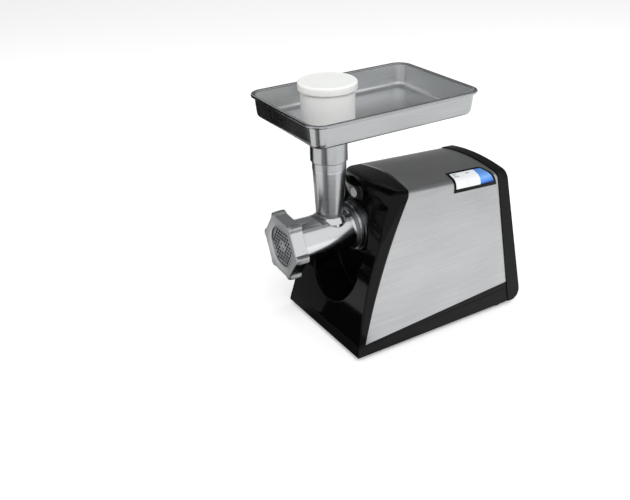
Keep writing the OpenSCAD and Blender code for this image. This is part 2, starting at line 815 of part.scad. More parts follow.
module motor_studs() color(steel) stand()
    for (p = studs) translate([p[0], 0, motor_z + p[1]]) {
        rod_y(screw_r, gear_rear + 0.2, bracket_end);
        rod_y(screw_r + 1.6, bracket_end, bracket_end + 3);
        // spacers on either side of the iron
        ring_y(screw_r + 0.1, screw_r + 1.6, plate_end, stator_y);
        ring_y(screw_r + 0.1, screw_r + 1.6, stator_end, bracket_y);
    }
comm_r = 12;
hub_r = 9;
module brush_holders() color(soft_black) stand()
    for (s = [-1, 1]) {
        // guide tube of the brush, and its post on the motor's iron
        translate([s * (comm_r + loose + 34) / 2, comm_y + comm_w / 2, motor_z])
            cube([34 - comm_r - loose, comm_w - 4, 8], center = true);
        translate([s * 34.5, 0, motor_z]) block(-4.5, 4.5, stator_end, comm_y + comm_w - 2, -9, 9);
    }
pinion_end = fast_y + fast_w + 1;
module rotor_shaft() color(steel) stand() translate([0, 0, motor_z]) {
    along_y(fast_y - 1, pinion_end) gear(pinion_n, fast_m, 15);
    rod_y(rotor_r, pinion_end, rotor_end);
}
module rotor_core() color("#7c7f82") stand() translate([0, 0, motor_z]) {
    along_y(stator_y, stator_end) difference() {
        circle(core_r);
        circle(rotor_r);
        for (a = [0:30:330]) rotate(a) translate([core_r - 6, 0]) square([13, 3.4], center = true);
    }
    for (y = [stator_y - 7, stator_end]) ring_y(rotor_r, core_r - 4, y, y + 7);
}
module commutator() color(copper) stand() translate([0, 0, motor_z])
    along_y(comm_y, comm_y + comm_w) difference() {
    circle(comm_r);
    circle(rotor_r);
    for (a = [0:15:345]) rotate(a) translate([comm_r, 0]) square([1.6, 0.5], center = true);
}
module cooling_fan() color(soft_black) stand() translate([0, 0, motor_z]) {
    along_y(fan_y, fan_y + 2) difference() {
        circle(fan_r);
        circle(rotor_r);
    }
    ring_y(rotor_r, hub_r, fan_y + 2, fan_y + fan_w);
    for (a = [0:30:330]) rotate([0, a, 0]) block(hub_r - 1, fan_r - 2, fan_y + 2, fan_y + fan_w, -0.8, 0.8);
}

// ---- gears ----
// involute of a base circle at roll angle t, in degrees
function involute(rb, t) = rb * [cos(t) + t * PI / 180 * sin(t), sin(t) - t * PI / 180 * cos(t)];
function turn(p, a) = [p[0] * cos(a) - p[1] * sin(a), p[0] * sin(a) + p[1] * cos(a)];
module gear(n, m, phase) {
    pitch = n * m / 2;
    rb = pitch * cos(pressure);
    tip = pitch + m;
    root = pitch - 1.25 * m;
    start = root > rb ? sqrt(pow(root / rb, 2) - 1) * 180 / PI : 0;
    end = sqrt(pow(tip / rb, 2) - 1) * 180 / PI;
    roll = tan(pressure) * 180 / PI;
    half = 90 / n - backlash / pitch * 90 / PI + (roll - pressure);
    steps = 3;
    flank = [for (i = [0:steps]) turn(involute(rb, start + (end - start) * i / steps), -half)];
    foot = norm(flank[0]) > root ? [turn([root, 0], atan2(flank[0][1], flank[0][0]))] : [];
    right = concat(foot, flank);
    tooth = concat(right, [for (i = [len(right) - 1:-1:0]) [right[i][0], -right[i][1]]]);
    polygon([for (k = [0:n - 1]) for (p = tooth) turn(p, phase + k * 360 / n)]);
}
module output_gear() color("#d9d6cc") stand() translate([0, 0, axis_z]) difference() {
    union() {
        along_y(slow_y, slow_y + slow_w) difference() {
            gear(slow_n, slow_m, 0);
            circle(shaft_r + 2);
        }
        ring_y(shaft_r + 2, 15, slow_y - 1, slow_y + slow_w + 2);
    }
    for (y = [slow_y, slow_y + slow_w]) ring_y(19, slow_tip - 8, y - 5, y + 5);
    for (a = [0:60:300]) rotate([0, a, 0]) rod_y(7, slow_y - 1, slow_y + slow_w + 1, 33);
}
module layshaft_pinion() color(steel) stand() translate([0, 0, lay_z])
    along_y(slow_y - 1.5, fast_y) difference() {
    gear(pinion_n, slow_m, 15);
    circle(lay_pin_r + run);
}
module layshaft_gear() color("#d9d6cc") stand() translate([0, 0, lay_z]) difference() {
    union() {
        along_y(fast_y, fast_y + fast_w) difference() {
            gear(fast_n, fast_m, 0);
            circle(lay_pin_r + run);
        }
        ring_y(lay_pin_r + run, 12, fast_y, fast_y + fast_w + 3.5);
    }
    ring_y(16, fast_m * fast_n / 2 - 7, fast_y + fast_w - 4, fast_y + fast_w + 1);
}
module output_shaft() color(steel) stand() translate([0, 0, axis_z]) difference() {
    union() {
        rod_y(coupling_r, coupling_y, gear_front - 1);
        rod_y(shaft_r, gear_front - 2, slow_y);
        rod_y(shaft_r + 2, slow_y - 1, slow_y + slow_w + 2);
        rod_y(shaft_r, slow_y + slow_w + 1, gear_rear - 2);
        rod_y(tail_r, gear_rear - 3, gear_rear + rear_plate - 2.5);
    }
    along_y(coupling_y - 1, spigot_end + 3) square(drive_sq + 0.4, center = true);
}

// ---- grinding head ----
module auger() color(alloy) stand() translate([0, 0, axis_z]) {
    length = auger_end - auger_front;
    front_r = bore_front - 0.8;
    taper = (bore_rear - 0.6) / front_r;
    turn_a = 360 * length / screw_lead;
    core_r = 13.5;
    crest_a = 11;
    // one helical flight round a core, tapering to the rear
    translate([0, auger_front, 0]) rotate([-90, 0, 0])
        linear_extrude(length, twist = -turn_a, slices = 48, segments = 26, scale = taper, convexity = 6) {
            circle(core_r, $fn = 24);
            polygon([
                [0, 0.1 - core_r], [front_r * 0.62, -9], front_r * [cos(crest_a), -sin(crest_a)],
                [front_r, 0],
                front_r * [cos(crest_a), sin(crest_a)], [front_r * 0.62, 9], [0, core_r - 0.1]
            ]);
        }
    rod_y(15, auger_end - 3, auger_end);
    rod_y(journal_r - run, auger_end, flange_back + 1);
    along_y(flange_back + 1, spigot_end - 1) square(drive_sq, center = true);
    along_y(knife_front, auger_front + 1) square(stud_sq, center = true);
    rod_y(stud_sq / 2 - loose, plate_back - 1, auger_front + 1);
    rod_y(pin_r, plate_front + 0.8, knife_front);
}
module auger_bush() color(white) stand() ring_y(journal_r, 16, auger_end, auger_end + bush_t, 0, axis_z);
module cross_knife() color(steel) stand() translate([0, 0, axis_z]) difference() {
    along_y(knife_front, knife_back) difference() {
        union() {
            circle(11);
            for (a = [0:90:270]) rotate(a)
                polygon([[-6, 6], [9, -7], [31, -5.5], [32.2, 0], [30, 3.5], [12, 4.5]]);
        }
        square(stud_sq + 0.3, center = true);
    }
    // hollow ground backs of the arms
    for (a = [0:90:270]) rotate([0, a, 0]) translate([22, 0, -6]) rod_y(5, knife_back - 2.4, knife_back + 1);
}
collar_z = throat_mid - 8.5;                    // foot of the throat's wider upper end
module throat_bore() about_throat() polygon([
    [0, 0], [throat_bore_low, 0], [throat_bore_low, throat_step], [throat_bore_r, throat_mid - axis_z],
    [throat_bore_r, throat_top - axis_z + 1], [0, throat_top - axis_z + 1]
]);
// a body of revolution round the throat; the profile is (radius, height above the grinding axis)
module about_throat() translate([0, throat_y, axis_z]) rotate_extrude() children();
pin_gap = lock_pin_r + loose;
module grinder_head() color(alloy) stand() {
    difference() {
        union() {
            about_y(axis_z) polygon([
                [0, mouth_face], [mouth_or, mouth_face], [mouth_or, nut_end - 3.5],
                [barrel_front, nut_end + 1], [barrel_mid, 0], [barrel_rear, flange_front - 9],
                [barrel_rear + 0.8, flange_front - 4.5], [barrel_rear + 3, flange_front - 1.5],
                [flange_r, flange_front], [flange_r, flange_back],
                [spigot_r, flange_back], [spigot_r, spigot_end], [0, spigot_end]
            ]);
            for (a = [90, -90]) sector_y(axis_z, a - lug_a / 2, a + lug_a / 2)
                translate([spigot_r - 2, lug_y0]) square([lug_r - spigot_r + 2, lug_y1 - lug_y0]);
            about_throat() polygon([
                [0, 0], [throat_foot_r + 5, 0], [throat_foot_r + 5, 24], [throat_foot_r, throat_step + 2],
                [throat_r - 0.6, collar_z - 1 - axis_z], [throat_r - 0.6, collar_z - axis_z],
                [throat_r, collar_z - axis_z], [throat_r, throat_top - axis_z], [0, throat_top - axis_z]
            ]);
        }
        throat_bore();
        about_y(axis_z) polygon([
            [0, mouth_face - 1], [plate_d / 2 + 0.1, mouth_face - 1], [plate_d / 2 + 0.1, bore_start],
            [bore_front, bore_start], [bore_rear, auger_end + bush_t], [0, auger_end + bush_t]
        ]);
        rod_y(journal_r, auger_end, flange_back + 1, 0, axis_z);
        rod_y(spigot_r - 4, flange_back, spigot_end + 1, 0, axis_z);
        // arc groove for the lock pin
        sector_y(axis_z, lock_angle - twist - 5, lock_angle + 5)
            translate([lock_pin_ring - pin_gap, flange_back - 3.6]) square([2 * pin_gap, 5]);
        // hole of the plate key
        translate([0, key_pos, axis_z - key_out]) cylinder(r = key_r, h = 10);
    }
}
key_r = 2;
key_out = plate_d / 2 + 3;
key_pos = plate_back - 2.2;
module plate_key() color(steel) stand()
    translate([0, key_pos, axis_z - key_out]) cylinder(r = key_r, h = key_out - plate_d / 2 + 2.4);
hole_pitch = hole_d + 1.7;
module cutting_plate() color(steel) stand() translate([0, 0, axis_z])
    along_y(plate_front, plate_back) difference() {
    circle(plate_d / 2);
    circle(pin_r + run);
    translate([0, -plate_d / 2]) square([2 * key_r + 0.6, 6.4], center = true);
    reach = mouth_r - hole_d / 2 - 0.6;
    for (i = [-5:5], j = [-5:5]) {
        p = hole_pitch * [i + j / 2, j * sqrt(3) / 2];
        if (norm(p) < reach && norm(p) > pin_r + hole_d / 2 + 0.8) translate(p) circle(hole_d / 2, $fn = 24);
    }
}
lugs = 6;
lug_turn = 55;                                  // of the first lug, from +X towards the top
nut_flat = 44.2;                                // from the axis to the flats between the lugs
module ring_nut() color(alloy) stand() translate([0, 0, axis_z]) difference() {
    intersection() {
        along_y(nut_front, nut_end) {
            // half a lug as (angle, radius), then mirrored; flats run from lug to lug
            root = 8.5;
            side = [[root, nut_flat / cos(180 / lugs - root)], [4.8, nut_r - 1.3], [3.2, nut_r - 0.2]];
            lug = concat(side, [for (i = [len(side) - 1:-1:0]) [-side[i][0], side[i][1]]]);
            polygon([for (k = [0:lugs - 1]) for (i = [len(lug) - 1:-1:0])
                let (a = lug_turn + k * 360 / lugs + lug[i][0]) lug[i][1] * [cos(a), sin(a)]]);
        }
        about_y(0) polygon([
            [0, nut_front], [nut_flat + 0.6, nut_front], [nut_r - 2.5, nut_front + 1],
            [nut_r + 1, nut_front + 4.5], [nut_r + 1, nut_end - 3.5], [nut_r - 2.5, nut_end],
            [0, nut_end]
        ]);
    }
    rod_y(mouth_r, nut_front - 1, nut_end);
    rod_y(mouth_or + 0.4, plate_front, nut_end + 1);
}

// ---- hopper tray and pusher ----
tray_cx = tray_w / 2 - corner_out;
tray_cy = tray_l / 2 - corner_out;
wall_top = corner_out - 2 * rim_r;
wall_low = wall_top - 3;
fold_r = 8;
module tray_wall() {
    fold = [wall_low - fold_r, fold_r];
    polygon(concat(
        arc(fold, fold_r, -90, 0, 5),
        [[wall_top + sheet * 0.4, tray_h - rim_r], [wall_top - sheet * 0.6, tray_h - rim_r]],
        arc(fold, fold_r - sheet, 0, -90, 5)
    ));
    translate([wall_top + rim_r - 0.6, tray_h - rim_r]) circle(rim_r);
}
module hopper_tray() color(steel) stand() translate([0, tray_y, tray_z]) {
    for (s = [0, 180]) rotate(s) {
        translate([tray_cx, 0, 0]) along_y(-tray_cy, tray_cy) tray_wall();
        translate([0, tray_cy, 0]) along_x(-tray_cx, tray_cx) tray_wall();
        translate([tray_cx, tray_cy, 0]) rotate_extrude(angle = 90) tray_wall();
        translate([tray_cx, -tray_cy, 0]) rotate([0, 0, -90]) rotate_extrude(angle = 90) tray_wall();
    }
    difference() {
        linear_extrude(sheet) {
            r = wall_low - fold_r;
            square([2 * (tray_cx + r), 2 * tray_cy], center = true);
            square([2 * tray_cx, 2 * (tray_cy + r)], center = true);
            for (x = [-1, 1], y = [-1, 1]) translate([x * tray_cx, y * tray_cy]) circle(r);
        }
        translate([0, -tray_shift, -1]) cylinder(r = throat_bore_r + 0.5, h = 5);
    }
    translate([0, -tray_shift, -neck_len]) difference() {
        union() {
            cylinder(r = neck_r, h = neck_len);
            translate([0, 0, neck_len - 4]) cylinder(r1 = neck_r, r2 = neck_r + 3, h = 4);
        }
        translate([0, 0, -1]) cylinder(r = throat_r + fit, h = neck_len + 1);
    }
}
module pusher() color(white) stand() translate([0, throat_y, cup_z]) difference() {
    union() {
        cylinder(r1 = cup_r - 1, r2 = cup_r, h = 2);
        translate([0, 0, 2]) cylinder(r = cup_r, h = cup_h - 2);
        translate([0, 0, stem_end - cup_z]) cylinder(r = stem_r, h = cup_z - stem_end + 1);
    }
    translate([0, 0, cup_wall]) cylinder(r = cup_r - cup_wall, h = cup_h);
    translate([0, 0, stem_end - cup_z + cup_wall]) cylinder(r = stem_r - cup_wall, h = cup_h + 200);
}
module pusher_lid() color(white) stand() translate([0, throat_y, cup_z + cup_h]) {
    top_t = 2.4;
    difference() {
        union() {
            translate([0, 0, -lid_skirt + top_t]) cylinder(r = lid_r, h = lid_skirt - 2);
            translate([0, 0, top_t - 2.01]) cylinder(r1 = lid_r, r2 = lid_r - 2, h = 2.01);
        }
        translate([0, 0, -lid_skirt]) cylinder(r = cup_r + fit, h = lid_skirt);
    }
}

// ---- head lock ----
module lock_button() color("#9b9da0") stand() {
    rod_y(lock_r, lock_face, lock_face + 2.8, lock_x, lock_z);
    rod_y(lock_stem_r, lock_face + 2.8, gear_front - lock_travel - 0.5, lock_x, lock_z);
}
module lock_latch() color(steel) stand() {
    difference() {
        along_y(latch_y, latch_y + latch_t) on_latch() {
            translate([0, lock_ring]) circle(6.5);
            translate([0, lock_pin_ring]) circle(lock_pin_r + 0.4);
            translate([-latch_w / 2, lock_pin_ring]) square([latch_w, lock_ring - lock_pin_ring]);
        }
        rod_y(lock_stem_r, latch_y - 1, latch_y + latch_t + 1, lock_x, lock_z);
    }
    rod_y(lock_pin_r, flange_back - 3, latch_y, lock_pin[0], lock_pin[1]);
}
// a helix of round wire along +Z, as one closed surface; every ring has sides points
module coil(radius, wire, height, turns, sides) {
    rings = turns * 10;
    points = [for (i = [0:rings]) for (j = [0:sides - 1])
        let (a = 360 * turns * i / rings, b = 360 * j / sides, r = radius + wire * cos(b))
        [r * cos(a), r * sin(a), wire + (height - 2 * wire) * i / rings + wire * sin(b)]];
    skin = [for (i = [0:rings - 1]) for (j = [0:sides - 1]) for (t = [0, 1])
        let (a = i * sides + j, b = i * sides + (j + 1) % sides)
        t == 0 ? [a, b, b + sides] : [a, b + sides, a + sides]];
    ends = [[for (j = [0:sides - 1]) sides - 1 - j], [for (j = [0:sides - 1]) rings * sides + j]];
    polyhedron(points, concat(skin, ends), convexity = 8);
}
module lock_spring() color(steel) stand() translate([lock_x, latch_y + latch_t, lock_z]) rotate([-90, 0, 0])
    coil(4.4, 0.5, gear_front - latch_y - latch_t, 5, 6);

base();
feet();
front_housing();
steel_cover();
rear_cover();
cord_gland();
switch_bezel();
switch_block();
button_reverse();
button_off();
button_on();
head_socket();
shaft_seal();
gearbox_front();
gearbox_rear();
gearbox_screws();
layshaft_pin();
output_bearings();
motor_bearings();
motor_stator();
field_coils();
motor_bracket();
brush_holders();
motor_studs();
rotor_shaft();
rotor_core();
commutator();
cooling_fan();
layshaft_gear();
layshaft_pinion();
output_gear();
output_shaft();
auger();
auger_bush();
cross_knife();
grinder_head();
plate_key();
cutting_plate();
ring_nut();
hopper_tray();
pusher();
pusher_lid();
lock_button();
lock_latch();
lock_spring();
base_screws();
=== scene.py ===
# Electric meat grinder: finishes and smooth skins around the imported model.
# Shapes are worked out in millimetres from the front foot edge of the housing (x right, y back, z up)
# and put into meshes in metres by toWorld().
import json
import math

import bmesh
import bpy
import numpy as np
from mathutils import Matrix, Vector

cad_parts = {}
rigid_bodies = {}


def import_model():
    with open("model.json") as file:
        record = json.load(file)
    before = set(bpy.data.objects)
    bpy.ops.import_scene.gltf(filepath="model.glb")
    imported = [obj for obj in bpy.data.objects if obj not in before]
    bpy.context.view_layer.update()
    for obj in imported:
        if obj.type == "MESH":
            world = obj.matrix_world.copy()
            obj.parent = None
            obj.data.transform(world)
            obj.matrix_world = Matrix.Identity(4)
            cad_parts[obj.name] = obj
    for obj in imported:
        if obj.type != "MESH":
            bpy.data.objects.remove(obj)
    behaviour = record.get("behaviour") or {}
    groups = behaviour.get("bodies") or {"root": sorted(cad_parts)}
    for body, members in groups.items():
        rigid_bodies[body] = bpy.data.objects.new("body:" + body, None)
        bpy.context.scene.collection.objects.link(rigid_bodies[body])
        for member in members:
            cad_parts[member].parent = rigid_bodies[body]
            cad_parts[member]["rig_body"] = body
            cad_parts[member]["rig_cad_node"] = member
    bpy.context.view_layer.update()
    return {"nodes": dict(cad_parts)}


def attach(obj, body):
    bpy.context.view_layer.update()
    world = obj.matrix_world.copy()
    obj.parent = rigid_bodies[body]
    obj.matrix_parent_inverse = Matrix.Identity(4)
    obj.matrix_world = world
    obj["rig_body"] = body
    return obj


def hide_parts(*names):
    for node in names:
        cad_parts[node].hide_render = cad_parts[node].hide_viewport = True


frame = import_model()
scene = bpy.context.scene
originY = 128.0              # mm from the front foot edge back to the origin
weldGap = 1e-6               # metres: points nearer than this become one
grindAxis = (0, 0, 179)      # the barrel, the nut and all that turns lie on this line, which runs along y
throatAxis = (0, 15, 0)      # the throat, the tray's neck and the pusher stand on this upright line
print("frame loaded:", len(frame["nodes"]), "nodes")


# small helpers
def toWorld(points):
    # millimetres from the front foot edge to metres from the origin
    return (np.asarray(points, float) - (0, originY, 0)) / 1000


def linear(hexColour, factor=1.0):
    # sRGB hex to linear RGBA, made darker or lighter by the factor
    rgb = np.array([int(hexColour[i:i + 2], 16) for i in (0, 2, 4)]) / 255
    rgb = np.where(rgb <= 0.04045, rgb / 12.92, ((rgb + 0.055) / 1.055) ** 2.4)
    return (*np.minimum(rgb * factor, 1).tolist(), 1.0)


def smoothStep(x, low, high):
    # 0 below low, 1 above high and an S-shaped rise between
    t = np.clip((x - low) / (high - low), 0, 1)
    return t * t * (3 - 2 * t)


def pulled(start, corner, end, t):
    # the quadratic curve from start to end that the corner pulls in
    return (1 - t) ** 2 * start + 2 * t * (1 - t) * corner + t ** 2 * end


def gridSurface(name, points, closeRows=False, closeCols=False, sharpDegrees=40):
    # points[row, column] in mm become quads between neighbours, and a closed direction joins its last to its
    # first; doubles are merged at the poles, then all faces are pointed outwards
    points = np.asarray(points, float)
    rows, cols = points.shape[:2]
    index = np.arange(rows * cols).reshape(rows, cols)
    if closeRows:
        index = np.vstack([index, index[:1]])
    if closeCols:
        index = np.hstack([index, index[:, :1]])
    quads = np.stack([index[:-1, :-1], index[:-1, 1:], index[1:, 1:], index[1:, :-1]], -1).reshape(-1, 4)
    mesh = bpy.data.meshes.new(name)
    mesh.from_pydata(toWorld(points.reshape(-1, 3)).tolist(), [], quads.tolist())
    shape = bmesh.new()
    shape.from_mesh(mesh)
    bmesh.ops.remove_doubles(shape, verts=shape.verts, dist=weldGap)
    bmesh.ops.recalc_face_normals(shape, faces=shape.faces)
    shape.to_mesh(mesh)
    shape.free()
    mesh.update()
    mesh.shade_smooth()
    if sharpDegrees:
        mesh.set_sharp_from_angle(angle=math.radians(sharpDegrees))
    piece = bpy.data.objects.new(name, mesh)
    scene.collection.objects.link(piece)
    return piece


def rounded(corners, radii, steps=5):
    # a polyline whose corners become short curves: each runs from a point before the corner to one after it.
    # corners[corner, ..., 2] may hold a whole set of lines, which are rounded at once
    corners = np.asarray(corners, float)
    t = np.linspace(0, 1, steps + 1).reshape([-1] + [1] * (corners.ndim - 1))
    rows = [corners[:1]]
    for before, corner, after, radius in zip(corners[:-2], corners[1:-1], corners[2:], radii):
        if radius <= 0:
            rows.append(corner[None])
            continue
        back, ahead = before - corner, after - corner
        lengthBack, lengthAhead = (np.linalg.norm(side, axis=-1, keepdims=True) for side in (back, ahead))
        reach = np.minimum(radius, 0.49 * np.minimum(lengthBack, lengthAhead))
        start, end = corner + back / lengthBack * reach, corner + ahead / lengthAhead * reach
        rows.append(pulled(start, corner, end, t))
    return np.concatenate(rows + [corners[-1:]])


def turned(name, profile, radii, centre, axis="z", segments=96, sharpDegrees=40):
    # a profile (radius, height) swung round the z or the y axis through centre
    line = rounded(profile, radii)
    angle = np.linspace(0, 2 * np.pi, segments, endpoint=False)
    radius, height = line[:, :1], line[:, 1:]
    across, up = radius * np.cos(angle), radius * np.sin(angle)
    along = height + 0 * angle
    order = (across, up, along) if axis == "z" else (across, along, up)
    points = np.stack(order, -1) + np.array(centre, float)
    return gridSurface(name, points, closeCols=True, sharpDegrees=sharpDegrees)


def readFaces(mesh, quantity):
    # one vector for each face: "center" in metres, or "normal"
    flat = np.empty(len(mesh.polygons) * 3)
    mesh.polygons.foreach_get(quantity, flat)
    return flat.reshape(-1, 3)


def twoFinishes(piece, first, second, isSecond):
    # two materials on one piece: the second goes on the faces where isSecond is true
    piece.data.materials.append(first)
    piece.data.materials.append(second)
    piece.data.polygons.foreach_set("material_index", isSecond.astype(np.int32))


softEdge = dict(segments=2, overDegrees=35, flatDegrees=0.3, sharpDegrees=50)


def softened(node, widthMm, material):
    # a copy of a CAD node with its doubles merged, flat areas joined and its edges rounded
    piece = frame["nodes"][node].copy()
    piece.data = piece.data.copy()
    piece.name = node + "Soft"
    piece.parent = None
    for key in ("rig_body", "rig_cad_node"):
        if key in piece:
            del piece[key]
    scene.collection.objects.link(piece)
    shape = bmesh.new()
    shape.from_mesh(piece.data)
    bmesh.ops.remove_doubles(shape, verts=shape.verts, dist=weldGap)
    bmesh.ops.dissolve_limit(shape, angle_limit=math.radians(softEdge["flatDegrees"]), verts=shape.verts,
                             edges=shape.edges)
    shape.to_mesh(piece.data)
    shape.free()
    if piece.data.has_custom_normals:
        with bpy.context.temp_override(object=piece, active_object=piece):
            bpy.ops.mesh.customdata_custom_splitnormals_clear()
    piece.data.shade_smooth()
    piece.data.set_sharp_from_angle(angle=math.radians(softEdge["sharpDegrees"]))
    bevel = piece.modifiers.new("edges", "BEVEL")
    bevel.width = widthMm / 1000
    bevel.segments = softEdge["segments"]
    bevel.limit_method = "ANGLE"
    bevel.angle_limit = math.radians(softEdge["overDegrees"])
    bevel.harden_normals = False
    piece.data.materials.clear()
    piece.data.materials.append(material)
    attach(piece, frame["nodes"][node]["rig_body"])
    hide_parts(node)
    return piece


def addNode(tree, kind, settings=None, links=None, feed=None):
    # one shader node: values by input name or number, a ramp's stops as (position, colour or grey), inputs
    # fed by (node, output) pairs, and the input that it feeds in turn as (output, node, input)
    node = tree.nodes.new("ShaderNode" + kind)
    for key, value in (settings or {}).items():
        if key == "stops":
            elements = node.color_ramp.elements
            while len(elements) < len(value):
                elements.new(0.5)
            for element, (position, colour) in zip(elements, value):
                element.position = position
                element.color = (colour, colour, colour, 1) if np.isscalar(colour) else colour
        elif isinstance(key, int) or key in node.inputs:
            node.inputs[key].default_value = value
        else:
            setattr(node, key, value)
    for key, (source, output) in (links or {}).items():
        tree.links.new(source.outputs[output], node.inputs[key])
    if feed:
        output, target, key = feed
        tree.links.new(node.outputs[output], target.inputs[key])
    return node


def newMaterial(name, **shaderValues):
    # an empty material whose shader is set up with the values given by input name
    material = bpy.data.materials.new(name)
    material.use_nodes = True
    tree = material.node_tree
    shader = tree.nodes["Principled BSDF"]
    for key, value in shaderValues.items():
        shader.inputs[key.replace("_", " ")].default_value = value
    return material, tree, shader


# camera, first because everything is judged through it
view = dict(focalPx=826.51, azimuth=59.88, elevation=27.92, roll=-1.79, distance=1208.83,
            target=(68.85, -54.19, 197.56), frameW=630, sensorMm=36)


def addCamera():
    # it stands at its azimuth and elevation round the target, and is rolled about the line of sight
    a, e, r = (math.radians(view[k]) for k in ("azimuth", "elevation", "roll"))
    back = np.array([math.sin(a) * math.cos(e), -math.cos(a) * math.cos(e), math.sin(e)])
    right = np.array([math.cos(a), math.sin(a), 0])
    up = np.cross(back, right)
    rolledRight = math.cos(r) * right + math.sin(r) * up
    rolledUp = -math.sin(r) * right + math.cos(r) * up
    place = toWorld(np.array(view["target"]) + back * view["distance"])
    data = bpy.data.cameras.new("camera")
    data.sensor_width = view["sensorMm"]
    data.lens = view["focalPx"] / view["frameW"] * view["sensorMm"]
    data.clip_end = 20
    camera = bpy.data.objects.new("camera", data)
    turn = Matrix(np.column_stack([rolledRight, rolledUp, back]).tolist()).to_4x4()
    camera.matrix_world = Matrix.Translation(place) @ turn
    scene.collection.objects.link(camera)
    scene.camera = camera


addCamera()
print("camera placed")


# materials; the scale of a noise is about one over its patches' width in metres
def polishedBlackAbs():
    # ABS moulded in a polished tool: near-black and mirror-like, with the tool's faint orange peel, about
    # 11 mm wide, under a haze about 70 mm wide
    material, tree, shader = newMaterial("polishedBlackAbs", Base_Color=linear("050506"), Roughness=0.11,
                                         IOR=1.5, Specular_IOR_Level=0.14)
    place = addNode(tree, "TexCoord")
    peel = addNode(tree, "TexNoise", {"Scale": 90.0, "Detail": 2.0}, {"Vector": (place, "Object")})
    addNode(tree, "Bump", {"Strength": 0.02, "Distance": 0.001}, {"Height": (peel, "Fac")},
            ("Normal", shader, "Normal"))
    haze = addNode(tree, "TexNoise", {"Scale": 14.0, "Detail": 4.0}, {"Vector": (place, "Object")})
    addNode(tree, "ValToRGB", {"stops": [(0.35, 0.07), (0.75, 0.13)]}, {"Fac": (haze, "Fac")},
            ("Color", shader, "Roughness"))
    return material


def grainedBlackAbs(name="grainedBlackAbs", colour="0d0e0f", roughness=0.42):
    # ABS moulded in a spark-eroded tool: a fine even grain of about 0.6 mm that spreads the gloss, and hand
    # wear in patches about 45 mm wide
    material, tree, shader = newMaterial(name, Base_Color=linear(colour), Roughness=roughness, IOR=1.5,
                                         Specular_IOR_Level=0.16)
    place = addNode(tree, "TexCoord")
    grain = addNode(tree, "TexNoise", {"Scale": 1600.0, "Detail": 3.0, "Roughness": 0.6},
                    {"Vector": (place, "Object")})
    addNode(tree, "Bump", {"Strength": 0.25, "Distance": 0.0001}, {"Height": (grain, "Fac")},
            ("Normal", shader, "Normal"))
    wear = addNode(tree, "TexNoise", {"Scale": 22.0, "Detail": 5.0}, {"Vector": (place, "Object")})
    addNode(tree, "ValToRGB", {"stops": [(0.3, roughness - 0.06), (0.75, roughness + 0.08)]},
            {"Fac": (wear, "Fac")}, ("Color", shader, "Roughness"))
    return material


def brushedSteel(name, colour, roughness, stretch, streakBump):
    # stainless sheet drawn under a fine belt: hairlines that run one way, under faint clouds about 40 mm wide
    # where hands and polish have been. Real hairlines are about 0.1 mm apart, too fine to show, so they are
    # drawn about 1.4 mm apart
    material, tree, shader = newMaterial(name, Metallic=1.0, Roughness=roughness, Base_Color=linear(colour))
    place = addNode(tree, "TexCoord")
    along = addNode(tree, "Mapping", {"Scale": stretch}, {"Vector": (place, "Object")})
    hair = addNode(tree, "TexNoise", {"Scale": 1.0, "Detail": 3.0, "Roughness": 0.6},
                   {"Vector": (along, "Vector")})
    spot = addNode(tree, "Mapping", {"Scale": (1, 0.5, 1)}, {"Vector": (place, "Object")})
    cloud = addNode(tree, "TexNoise", {"Scale": 22.0, "Detail": 0.0}, {"Vector": (spot, "Vector")})
    share = addNode(tree, "Math", {"operation": "MULTIPLY", 1: 0.35}, {0: (cloud, "Fac")})
    mixed = addNode(tree, "Math", {"operation": "MULTIPLY_ADD", 1: 0.7},
                    {0: (hair, "Fac"), 2: (share, "Value")})
    addNode(tree, "ValToRGB", {"stops": [(0.35, linear(colour, 0.88)), (0.75, linear(colour, 1.08))]},
            {"Fac": (mixed, "Value")}, ("Color", shader, "Base Color"))
    addNode(tree, "ValToRGB", {"stops": [(0.3, roughness - 0.03), (0.7, roughness + 0.03)]},
            {"Fac": (cloud, "Fac")}, ("Color", shader, "Roughness"))
    addNode(tree, "Bump", {"Strength": streakBump, "Distance": 0.00005}, {"Height": (hair, "Fac")},
            ("Normal", shader, "Normal"))
    return material


def castAluminium(name, colour, roughness, pitting=0.02):
    # aluminium casting, tumbled and buffed: soft gloss with slight ripples about 17 mm wide and fine pits
    # about 0.7 mm wide
    material, tree, shader = newMaterial(name, Metallic=1.0, Roughness=roughness, Base_Color=linear(colour))
    place = addNode(tree, "TexCoord")
    ripple = addNode(tree, "TexNoise", {"Scale": 60.0, "Detail": 3.0}, {"Vector": (place, "Object")})
    pits = addNode(tree, "TexNoise", {"Scale": 1500.0, "Detail": 4.0}, {"Vector": (place, "Object")})
    height = addNode(tree, "Math", {"operation": "MULTIPLY_ADD", 1: 0.3},
                     {0: (pits, "Fac"), 2: (ripple, "Fac")})
    addNode(tree, "Bump", {"Strength": pitting, "Distance": 0.0003}, {"Height": (height, "Value")},
            ("Normal", shader, "Normal"))
    addNode(tree, "ValToRGB", {"stops": [(0.3, roughness - 0.06), (0.7, roughness + 0.08)]},
            {"Fac": (pits, "Fac")}, ("Color", shader, "Roughness"))
    return material


def turnedSteel(name, centre, colour, roughness):
    # hardened steel faced on a lathe: rings 0.7 mm apart round the grinding axis
    material, tree, shader = newMaterial(name, Metallic=1.0, Roughness=roughness, Base_Color=linear(colour))
    place = addNode(tree, "TexCoord")
    centred = addNode(tree, "Mapping", {"Location": tuple(-toWorld(centre))},
                      {"Vector": (place, "Object")})
    rings = addNode(tree, "TexWave", {"wave_type": "RINGS", "rings_direction": "Y", "Scale": 450.0,
                                      "Distortion": 0.4, "Detail": 2.0}, {"Vector": (centred, "Vector")})
    addNode(tree, "Bump", {"Strength": 0.1, "Distance": 0.0001}, {"Height": (rings, "Fac")},
            ("Normal", shader, "Normal"))
    return material


